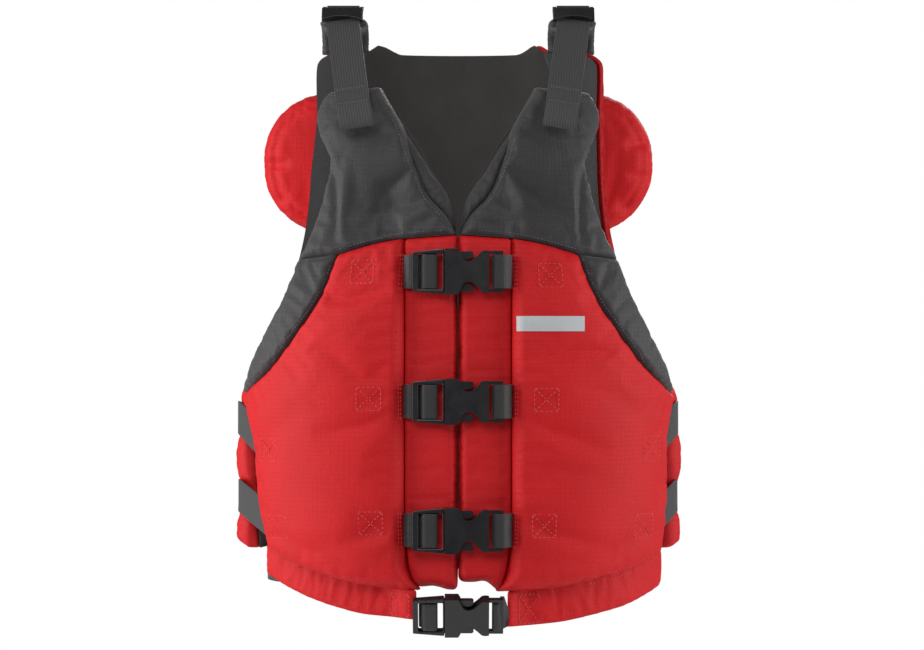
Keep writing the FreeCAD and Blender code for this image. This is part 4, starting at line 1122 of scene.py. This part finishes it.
def back_pads():
    """The back's pad and lining, and the facings along its armholes."""
    seams = [(drawn(points, BACK, UPRIGHT), depth, width) for points, depth, width in BACK_SEAMS]
    for heights in SIDE_STRAPS.values():
        for sign in SIDES.values():
            turns = (BACK_END + 14.0, BACK_END - 60.0)
            ends = [(sign * round_at_turn(turn), heights[1]) for turn in turns]
            seams.append((spline(ends), STRAP_SQUEEZE, 20.0))

    def lobes(around, height):
        """Thickness of the back, fuller where its sides bulge out below the armholes."""
        out = smooth_step((np.abs(around) - 205.0) / 50.0) * smooth_step((300.0 - height) / 40.0)
        return BACK_THICK - 3.0 + LOBE_SWELL * out

    def inner_place(around, height, offset):
        """The lining stops short of the left armhole, where the outer cloth rolls round."""
        gone = smooth_step((around - 100.0) / 50.0) * smooth_step((height - 285.0) / 50.0)
        return back_place(around - ROLL_SHOWN * gone, height, offset)

    pad = sewn_pad(
        "back_pad", back_edges(14.0, 13.0, 1.6, 1.6), back_place,
        lobes, LINER + 0.4, 8.0, [RED], seams, seed=3.0,
    )
    lining = sewn_pad(
        "back_lining", back_edges(0.0, 4.0, 0.0, 3.2), inner_place,
        lambda a, h: np.full(np.shape(a), LINER), None, 7.0, [LINING], rings=0, reach=9.0,
    )
    facings = []
    for side, sign in SIDES.items():
        outline = [
            edge(back_row(BACK_ARMHOLE), 0.0, 4.0, False, 2.0),
            edge(back_row(BACK_SHOULDER), 0.0, 4.0, False, 1.0),
            edge(back_row(BACK_TOP[:3] + [(112.0, 676.0)]), 0.0, 4.0),
            edge(back_row(FACING_INNER), 0.0, 4.0, False, 0.6),
            edge(back_row([FACING_INNER[-1], BACK_ARMHOLE[0]]), 0.0, 4.0),
        ]

        def place(around, height, offset, sign=sign):
            return inner_place(sign * around, height, offset)

        facings.append(sewn_pad(
            side + "_back_facing", outline, place,
            lambda a, h: np.full(np.shape(a), -0.4), None, 5.0, [CHARCOAL], rings=0, reach=8.0,
            seed=4.0 + sign,
        ))
    return pad, lining, facings


# ------------------------------------------------------------------------ the pillow

PILLOW_DEPTH = 178.7  # of its middle plane
PILLOW_HALF = 243.0
PILLOW_LOW, PILLOW_HIGH = 461.0, 640.0
PILLOW_CORNER = 84.0
RIM = 19.0  # from the silhouette to the seam of the rim band


def rounded_outline(half, low, high, corner):
    centre_x = half - corner
    points = []
    for cx, cz, first in (
        (centre_x, low + corner, -90.0),
        (centre_x, high - corner, 0.0),
        (-centre_x, high - corner, 90.0),
        (-centre_x, low + corner, 180.0),
    ):
        for step in range(13):
            turn = math.radians(first + 90.0 * step / 12)
            points.append((cx + corner * math.cos(turn), cz + corner * math.sin(turn)))
    return np.array(points + points[:1])


def pillow_pad():
    outline = rounded_outline(PILLOW_HALF - 1.5, PILLOW_LOW + 1.0, PILLOW_HIGH - 1.0, PILLOW_CORNER)
    seam = rounded_outline(PILLOW_HALF - RIM, PILLOW_LOW + RIM, PILLOW_HIGH - RIM, PILLOW_CORNER - RIM)
    half = 25.0

    def place(x, z, off):
        return np.stack([x, PILLOW_DEPTH - off, z], -1)

    pinches = [
        (spline([(-244.0, 546.0), (-205.0, 548.0)]), 7.0, 6.0),
        (spline([(-236.0, 500.0), (-205.0, 508.0)]), 4.0, 6.0),
        (spline([(244.0, 576.0), (204.0, 570.0)]), 7.0, 6.0),
        (spline([(245.0, 530.0), (206.0, 532.0)]), 5.0, 6.0),
        (spline([(228.0, 486.0), (190.0, 500.0)]), 6.0, 7.0),
        (spline([(-150.0, 640.0), (-146.0, 600.0)]), 5.0, 7.0),
        (spline([(150.0, 640.0), (148.0, 604.0)]), 5.0, 7.0),
    ]
    return sewn_pad(
        "pillow_cushion",
        [edge(outline, half, 26.0, True, 1.5)],
        place, lambda a, h: np.full(np.shape(a), half), 0.0, 6.0, [RED],
        [(seam, 4.5, 3.2)] + pinches, twin=True, seed=2.2, reach=20.0,
    )


# --------------------------------------------------------------------- the shoulders

SHOULDER_X = 135.0
SHOULDER_PAD_PATH = [(67.0, 672.6), (67.0, 688.0), (63.0, 698.0), (52.0, 703.5), (38.0, 706.0), (8.0, 706.0)]


def shoulder_pad(side):
    sign = SIDES[side]
    path = evenly(spline(SHOULDER_PAD_PATH, 1.0), 1.0)
    lengths = np.arange(len(path), dtype=float)
    along = np.gradient(path, axis=0)
    along /= np.linalg.norm(along, axis=1, keepdims=True)

    def place(across, at, off):
        y = np.interp(at, lengths, path[:, 0]) + off * np.interp(at, lengths, along[:, 1])
        z = np.interp(at, lengths, path[:, 1]) - off * np.interp(at, lengths, along[:, 0])
        return np.stack([sign * (SHOULDER_X + across), y, z], -1)

    far = lengths[-1]
    half = 29.0
    soft = 7.0
    outline = np.array(
        [
            (-half, 0.0), (half, 0.0), (half, far - soft), (half - soft * 0.3, far - soft * 0.3),
            (half - soft, far), (soft - half, far), (soft * 0.3 - half, far - soft * 0.3),
            (-half, far - soft), (-half, 0.0),
        ]
    )
    return sewn_pad(
        side + "_shoulder_cushion",
        [edge(spline(outline[:2]), 3.0, 4.0), edge(outline[1:], 5.5, 9.0, True, 0.8)],
        place, lambda a, h: np.full(np.shape(a), 5.5), 0.0, 4.0, [CHARCOAL], twin=True,
        seed=3.0 + sign, reach=12.0,
    )


LOCK_FRONT = (135.0, -27.7, 706.2)
STRAP_LEAN = math.radians(8.6)


def leaning(points, sign):
    """Points of a shoulder strap from (depth, height), leaning towards the neck."""
    placed = []
    for y, z in points:
        fall = LOCK_FRONT[2] - z
        x = LOCK_FRONT[0] - math.sin(STRAP_LEAN) * fall
        placed.append((sign * x, y, LOCK_FRONT[2] - math.cos(STRAP_LEAN) * fall))
    return placed


def lean_across(sign):
    return (math.cos(STRAP_LEAN), 0.0, -sign * math.sin(STRAP_LEAN))


STRAP_PATH = [(-77.0, 596.0), (-79.0, 618.0), (-78.5, 632.0), (-58.0, 657.0), (-27.5, 697.5), (-26.0, 704.0)]
STRAP_SPLIT = 3
TAIL_PATH = [(-32.0, 705.0), (-35.5, 700.5), (-64.0, 661.5), (-97.5, 618.5), (-116.0, 598.0)]
TAIL_ROWS = [(-97.6, 620.0), (-98.7, 618.5), (-113.8, 602.5), (-114.6, 601.0)]  # sewn across it
TAIL_TIP = [(-122.2, 575.0), (-124.5, 572.4), (-125.6, 576.0), (-124.6, 586.0), (-120.4, 600.0)]


def shoulder_straps(side):
    sign = SIDES[side]
    across = lean_across(sign)

    def strap(name, path, **settings):
        line = leaning(path, sign)
        return webbing(side + name, line, across, 38.0, WEBBING, columns=24, **settings)

    low = strap("_strap_low", STRAP_PATH[: STRAP_SPLIT + 1], ribs=0.12)
    high = strap("_strap_high", STRAP_PATH[STRAP_SPLIT:], ribs=0.12)
    tail = strap("_tail_webbing", TAIL_PATH + TAIL_TIP, ribs=0.14, step=2.5)
    rows = []
    for y, z in TAIL_ROWS:
        middle = leaning([(y, z)], sign)[0]
        row = []
        for step in range(9):
            shift = 17.0 * (step / 4.0 - 1.0)
            spot = [(m + c * shift) * MM for m, c in zip(middle, across)]
            row.append((Vector(spot), Vector((0.0, -0.75, 0.66))))
        rows.append(row)
    thread = stitches(side + "_tail_stitching", rows, DARK_THREAD, pitch=3.0, thread=0.5)
    return low, high, tail, thread


HINGE = (135.0, 4.0, 721.0)


def anchor(side):
    """Webbing sewn on the shoulder cushion and looped round the hinge bar."""
    sign = SIDES[side]
    radius = 3.9
    ring = []
    for step in range(9):
        turn = math.radians(90.0 + 180.0 * step / 8)
        ring.append((HINGE[1] + radius * math.cos(turn), HINGE[2] + radius * math.sin(turn)))
    line = [(HINGE[1] + 28.0, HINGE[2] - 2.0), (HINGE[1] + 14.0, HINGE[2] + 2.6)] + ring
    line += [(HINGE[1] + 14.0, HINGE[2] - 4.4), (HINGE[1] + 28.0, HINGE[2] - 5.0)]
    points = [(sign * HINGE[0], y, z) for y, z in line]
    return webbing(side + "_anchor_webbing", points, (1.0, 0.0, 0.0), 38.0, FLAT_WEBBING, step=1.6)


# ------------------------------------------------------- side straps and waist belt


def side_strap(side, level):
    """A strap from inside the front pad, over the side lobe and back through its lock."""
    sign = SIDES[side]
    low, high = SIDE_STRAPS[level]
    reach = float(side_reach(np.array(low)))
    if side == "left":
        reach += FLARE * (ARMPIT - low) / FLARE_FALL
    hidden = on_torso(np.array([reach - 22.0, reach - 8.0]), low, FRONT, 11.0)
    edge_point = on_torso(np.array([reach + 3.0]), low + 2.0, FRONT, 14.0)
    wrap = [round_at_turn(BACK_END - turn) for turn in (-2.0, 6.0, 16.0, 26.0, 38.0, 50.0)]
    out = BACK_THICK + np.array([-5.5, -2.5, 0.5, 2.0, 2.8, 3.4])
    behind = on_torso(np.array(wrap), high, BACK, out)
    points = np.vstack([hidden, edge_point, behind])
    points[:, 0] *= sign
    name = side + "_" + level + "_side_webbing"
    return webbing(name, points, (0.0, 0.0, 1.0), 38.0, BELT_WEBBING, step=4.0)


BELT_HALF_WIDTH, BELT_HALF_DEPTH = 222.9, 128.9
BELT_HEIGHT = 69.0


def belt(side):
    """Half of the waist belt, from the front tunnel to the middle of the back."""
    sign = SIDES[side]
    line = []
    for step in range(24):
        turn = math.radians(-24.0 + 114.0 * step / 23)
        line.append((sign * BELT_HALF_WIDTH * math.cos(turn), BELT_HALF_DEPTH * math.sin(turn), BELT_HEIGHT))
    return webbing(side + "_waist_webbing", line, (0.0, 0.0, 1.0), 33.0, BELT_WEBBING, step=5.0)


# ------------------------------------------------------------------------ the buckles

BUCKLES = {
    "top_buckle": (0.0, -153.6, 410.0, 0.0),
    "middle_buckle": (0.0, -155.4, 264.0, 0.0),
    "bottom_buckle": (0.0, -153.3, 119.0, 0.0),
    "waist_buckle": (0.0, -141.0, 22.4, 30.0),
}
TONGUE_LINE = [
    (-60.5, 17.0), (-59.6, 13.0), (-57.0, 8.0), (-51.5, 5.6), (-44.0, 5.2), (-41.0, 3.0),
    (-38.9, -3.0), (-36.5, -3.9), (-26.5, -3.9), (-24.4, -3.0), (-23.8, 2.0), (-25.0, 6.4),
    (-30.0, 7.4), (-44.0, 7.5), (-55.0, 9.0), (-59.0, 15.0),
]
SOCKET_LINE = [
    (60.4, 14.0), (59.6, 9.0), (57.0, 2.5), (52.0, -2.6), (46.0, -3.9), (41.0, -3.5), (39.0, 0.0),
    (41.0, 3.5), (46.0, 4.2), (54.0, 5.5), (58.0, 10.0), (59.6, 15.0),
]
WAIST_ENDS = {"tongue": 50.0, "socket": 57.5}
WAIST_SHIFT = {"tongue": (3.0, 8.0), "socket": (7.0, 5.5)}  # back and up, to the tunnel's mouth


def buckle_strap(part, buckle, line):
    """The webbing of a buckle's part, from its slot in the front round its bar and back."""
    x, y, z, tilt = BUCKLES[buckle]
    lean = math.radians(tilt)
    back, up = WAIST_SHIFT[part]
    points, across = [], []
    for along, depth in line:
        if tilt and abs(along) > WAIST_ENDS[part]:
            continue
        share = float(smooth_step((abs(along) - 44.0) / 14.0)) if tilt else 0.0
        depth = depth * (1.0 - 0.9 * share)
        turn = lean * (1.0 - share)
        rear = y + depth * math.cos(lean) + back * share
        points.append((x + along, rear, z + depth * math.sin(lean) + up * share))
        across.append((0.0, -math.sin(turn), math.cos(turn)))
    width = 36.0 if tilt else 38.0
    return webbing(part + "_loop", points, across, width, FLAT_WEBBING, step=1.5, columns=10)


# ---------------------------------------------------------------------- build it all

blown = []
fronts = {}
for side in SIDES:
    body = side + "_front"
    pouch, yoke, facing, panel, placket, lining = front_pads(side)
    tunnel = band_pad(side)
    fronts[side] = (pouch, yoke, facing, panel, placket, lining, tunnel)
    blown += [(pouch, 4.0, 0.015, 7.0), (yoke, 4.0, 0.03, 7.0), (panel, 4.0, 0.03, 6.0)]
    blown += [(facing, 1.5, 0.02, 2.0)]
    blown += [(placket, 2.5, 0.01, 3.0), (lining, 0.0, 0.0, 0.1), (tunnel, 1.5, 0.01, 1.5)]
back_pad, back_lining, back_facings = back_pads()
cushion = pillow_pad()
shoulder_cushions = {side: shoulder_pad(side) for side in SIDES}
blown += [(back_pad, 3.0, 0.02, 6.0), (cushion, 4.0, 0.02, 8.0)]
blown += [(shoulder_cushions[side], 2.0, 0.02, 2.0) for side in SIDES]
inflate([entry for entry in blown if entry[1] > 0.0])
for entry in blown:
    if entry[1] == 0.0:
        entry[0].vertex_groups.clear()
        smooth(entry[0], 70.0)
for piece in [back_lining] + back_facings:
    piece.vertex_groups.clear()
    smooth(piece, 70.0)

for side, (pouch, yoke, facing, panel, placket, lining, tunnel) in fronts.items():
    body = side + "_front"
    for piece, fill, slot, nodes in (
        (pouch, 0.85, "red_ripstop", (side + "_pouch", side + "_foam")),
        (yoke, 0.7, "charcoal_ripstop", (side + "_yoke",)),
        (facing, 0.3, "charcoal_ripstop", ()),
        (panel, 0.7, "charcoal_ripstop", (side + "_armhole_panel",)),
        (placket, 0.7, "red_ripstop", (side + "_placket",)),
        (tunnel, 0.2, "red_ripstop", (side + "_waistband",)),
    ):
        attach(piece, body)
        if nodes:
            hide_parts(*nodes)
    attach(lining, body)
    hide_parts(side + "_liner")

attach(back_pad, "back")
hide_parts("back_shell", "back_foam")
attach(back_lining, "back")
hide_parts("back_liner")
for piece in back_facings:
    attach(piece, "back")
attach(cushion, "pillow")
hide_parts("pillow_cover", "pillow_foam")

for side in SIDES:
    sign = SIDES[side]
    pad = shoulder_cushions[side]
    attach(pad, "back")
    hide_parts(side + "_shoulder_pad")
    low, high, tail, tail_thread = shoulder_straps(side)
    turn_low = leaning([STRAP_PATH[STRAP_SPLIT]], sign)[0]
    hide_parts(side + "_shoulder_strap")
    [c * MM for c in turn_low]
    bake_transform(low)
    [c * MM for c in turn_low]
    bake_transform(high)
    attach(tail, side + "_tail")
    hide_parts(side + "_strap_tail")
    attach(tail_thread, side + "_tail")
    loop = anchor(side)
    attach(loop, "back")
    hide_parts(side + "_shoulder_anchor")
    for level in SIDE_STRAPS:
        strap = side_strap(side, level)
        if level == "upper":
            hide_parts(side + "_side_straps", side + "_side_tabs")
        height = 0.22 if level == "upper" else 0.13
        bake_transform(strap)
    half_belt = belt(side)
    if side == "left":
        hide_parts("waist_belt")
    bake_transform(half_belt)

loops = {"right": [], "left": []}
for buckle in BUCKLES:
    loops["right"].append(buckle_strap("tongue", buckle, TONGUE_LINE))
    loops["left"].append(buckle_strap("socket", buckle, SOCKET_LINE))
for side, parts in loops.items():
    piece = joined(side + "_buckle_webbing", parts)
    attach(piece, side + "_front")
    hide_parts(side + "_front_webbing")

# ---------------------------------------------------------- hardware kept from the CAD


def rounded_node(name, material, width):
    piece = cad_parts[name]
    weld = piece.modifiers.new("weld", "WELD")
    weld.merge_threshold = 0.00002
    bevel = piece.modifiers.new("round", "BEVEL")
    bevel.limit_method = "ANGLE"
    bevel.angle_limit = math.radians(40.0)
    bevel.width = width * MM
    bevel.segments = 3
    bevel.use_clamp_overlap = True
    if not piece.material_slots:
        piece.data.materials.append(material)
    for entry in piece.material_slots:
        entry.material = material


for buckle in BUCKLES:
    for part in ("tongue", "socket", "upper_prong", "lower_prong"):
        rounded_node(buckle + "_" + part, PLASTIC, 1.3)
for side in SIDES:
    for part in ("ladder_lock", "upper_side_lock", "lower_side_lock"):
        rounded_node(side + "_" + part, PLASTIC, 0.6)
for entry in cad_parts["pillow_tabs"].material_slots:
    entry.material = CHARCOAL


def lock_lip(side):
    """The curved thumb lip of a ladder lock, which stands out in front of its bars."""
    clear_selection()
    bpy.ops.mesh.primitive_grid_add(x_subdivisions=24, y_subdivisions=6, size=1.0)
    piece = bpy.context.object
    piece.name = side + "_lock_lip"
    piece.data.name = piece.name
    for vertex in piece.data.vertices:
        across, rise = vertex.co.x * 2.0, vertex.co.y + 0.5
        arch = LIP_ARCH * (1.0 - across * across)
        low = LIP_LOW + arch
        z = low + (LIP_HIGH - low) * rise
        y = LIP_FRONT + 9.0 * rise
        vertex.co = Vector((SIDES[side] * 135.0 + across * LIP_HALF, y, z)) * MM
    wall = piece.modifiers.new("wall", "SOLIDIFY")
    wall.thickness = 2.2 * MM
    wall.offset = 0.0
    bevel = piece.modifiers.new("round", "BEVEL")
    bevel.limit_method = "ANGLE"
    bevel.angle_limit = math.radians(50.0)
    bevel.width = 0.7 * MM
    bevel.segments = 2
    piece.data.materials.append(PLASTIC)
    apply_modifiers(piece)
    outward(piece)
    smooth(piece, 50.0)
    return piece


LIP_FRONT, LIP_LOW, LIP_HIGH = -42.0, 704.0, 719.0
LIP_ARCH, LIP_HALF = 4.5, 23.5
for side in SIDES:
    lip = lock_lip(side)
    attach(lip, side + "_adjuster")

# --------------------------------------------------------------------- bar and thread


def bar_on_pouch():
    """A plain reflective bar that lies on the left pouch."""
    tree = surface_of([fronts["left"][0]])
    place = torso_place(FRONT, 1.0)
    clear_selection()
    bpy.ops.mesh.primitive_grid_add(x_subdivisions=28, y_subdivisions=7, size=1.0)
    piece = bpy.context.object
    piece.name = "reflective_bar"
    piece.data.name = "reflective_bar"
    uv = []
    for vertex in piece.data.vertices:
        x = 105.5 + 73.0 * vertex.co.x
        z = 351.5 + 17.0 * vertex.co.y
        spot = drawn([(x, z), (x, z + 0.01)], offset=on_pouch(x))[:2]
        uv.append((x, z))
        hit, normal = laid(tree, place, spot)[0]
        vertex.co = hit + normal * 0.0004
    layer = piece.data.uv_layers[0]
    layer.name = "cloth"
    for loop in piece.data.loops:
        layer.data[loop.index].uv = [c * MM for c in uv[loop.vertex_index]]
    piece.data.materials.append(TAPE)
    wall = piece.modifiers.new("wall", "SOLIDIFY")
    wall.thickness = 0.0008
    wall.offset = 0.0
    apply_modifiers(piece)
    outward(piece)
    smooth(piece, 50.0)
    return piece


reflective_bar = bar_on_pouch()
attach(reflective_bar, "left_front")
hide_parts("reflective_mark")


def patch_lines(x, z):
    """A square with a cross in it, sewn through the pad."""
    cut = 1.0 if x < 200.0 else 0.95
    corners = []
    for dx, dz in ((-1, -1), (1, -1), (1, 1), (-1, 1)):
        corners.append((x + dx * PATCH * cut, z + dz * PATCH))
    pairs = [(0, 1), (1, 2), (2, 3), (3, 0), (0, 2), (1, 3)]
    return [[corners[a], corners[b]] for a, b in pairs]


for side in SIDES:
    sign = SIDES[side]
    place = torso_place(FRONT, sign)
    pouch, yoke, facing, panel, placket, lining, tunnel = fronts[side]
    tree = surface_of([pouch, placket, tunnel])
    laid_rows = []
    for x, z in PATCHES[side]:
        laid_rows += [laid(tree, place, drawn(line, offset=on_pouch(x))) for line in patch_lines(x, z)]
    rows = []
    for height in (410.0, 264.0, 119.0):
        for offset in (66.5, 68.5):
            rows.append([(offset, height - 21.0), (offset, height + 21.0)])
    laid_rows += [laid(tree, place, drawn(line, offset=33.0)) for line in rows]
    inner, outer = BOX_ENDS[side]
    deep = TUNNEL_TALL[side] - 3.0
    rows = []
    if side == "left":
        rows.append([(x, bottom_line(x, side) - 3.5) for x in range(60, 216, 12)])
    a, b, c, d = (inner, 5.0), (inner, deep), (outer, deep), (outer, 5.0)
    for ends in ((a, b), (d, c), (a, c), (b, d), (a, d), (b, c)):
        rows.append([(x, bottom_line(x, side) - drop) for x, drop in ends])
    laid_rows += [laid(tree, place, drawn(line, offset=9.0)) for line in rows]
    thread = stitches(side + "_red_stitching", laid_rows, RED_THREAD)
    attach(thread, side + "_front")
    tree = surface_of([yoke, panel])
    rows = [
        [(x - 1.5, z + 6.0) for x, z in YOKE_SEAM],
        [(x + 5.0, z + 2.0) for x, z in PANEL_INNER_SEAM[:-1]],
        [(x + 5.0, z - 2.0) for x, z in NECK_SEAM[1:-1]],
    ]
    rows.append([(92.0, 617.0), (150.0, 613.0)])
    laid_rows = [laid(tree, place, drawn(points, offset=24.0)) for points in rows]
    thread = stitches(side + "_charcoal_stitching", laid_rows, DARK_THREAD, pitch=4.0, thread=0.4)
    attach(thread, side + "_front")

# ------------------------------------------------------------------ stage and camera


def area_light(name, place, target, size, power):
    data = bpy.data.lights.new(name, "AREA")
    data.shape = "RECTANGLE"
    data.size, data.size_y = size
    data.energy = power
    light = bpy.data.objects.new(name, data)
    light.location = place
    light.rotation_euler = (Vector(target) - Vector(place)).to_track_quat("-Z", "Y").to_euler()
    bpy.context.scene.collection.objects.link(light)


area_light("softbox_left", (-2.2, -0.45, 0.55), (0.0, 0.0, 0.35), (1.2, 2.2), 56.0)
area_light("softbox_right", (2.2, -0.45, 0.55), (0.0, 0.0, 0.35), (1.2, 2.2), 42.0)
area_light("softbox_front", (-0.7, -2.6, 1.9), (0.0, 0.0, 0.35), (2.0, 1.2), 36.0)
area_light("softbox_back", (0.9, 2.8, 1.6), (0.0, 0.0, 0.35), (2.0, 1.2), 40.0)

clear_selection()
bpy.ops.mesh.primitive_plane_add(size=3.0, location=(0.0, 0.3, -0.95))
floor = bpy.context.object
floor.name = "floor"
floor_material, floor_tree = new_material("matte_paper_floor", linear("#F2F2F2"))
floor_noise = node(floor_tree, "TexNoise", {"Scale": 300.0}).outputs[0]
finish_material(floor_tree, linear("#F2F2F2"), floor_noise, 0.05, 0.0005, {"Roughness": 0.9})
floor.data.materials.append(floor_material)

world = bpy.data.worlds.new("studio")
world.use_nodes = True
background = world.node_tree.nodes["Background"]
background.inputs["Color"].default_value = (1.0, 1.0, 1.0, 1.0)
ambient, backdrop = 0.22, 1.0  # what lights the jacket, and what shows behind it
tree = world.node_tree
seen = node(tree, "LightPath").outputs["Is Camera Ray"]
values = {"Value": seen, "To Min": ambient, "To Max": backdrop}
tree.links.new(node(tree, "MapRange", values).outputs[0], background.inputs["Strength"])
bpy.context.scene.world = world
bpy.context.scene.view_settings.view_transform = "Standard"

camera_data = bpy.data.cameras.new("camera")
camera_data.lens = 112.7
camera_data.sensor_width = 36.0
camera_data.clip_end = 50.0
camera = bpy.data.objects.new("camera", camera_data)
camera.location = (0.0045, -3.4, 0.350)
camera.rotation_euler = (math.radians(90.0), 0.0, 0.0)
bpy.context.scene.collection.objects.link(camera)
bpy.context.scene.camera = camera
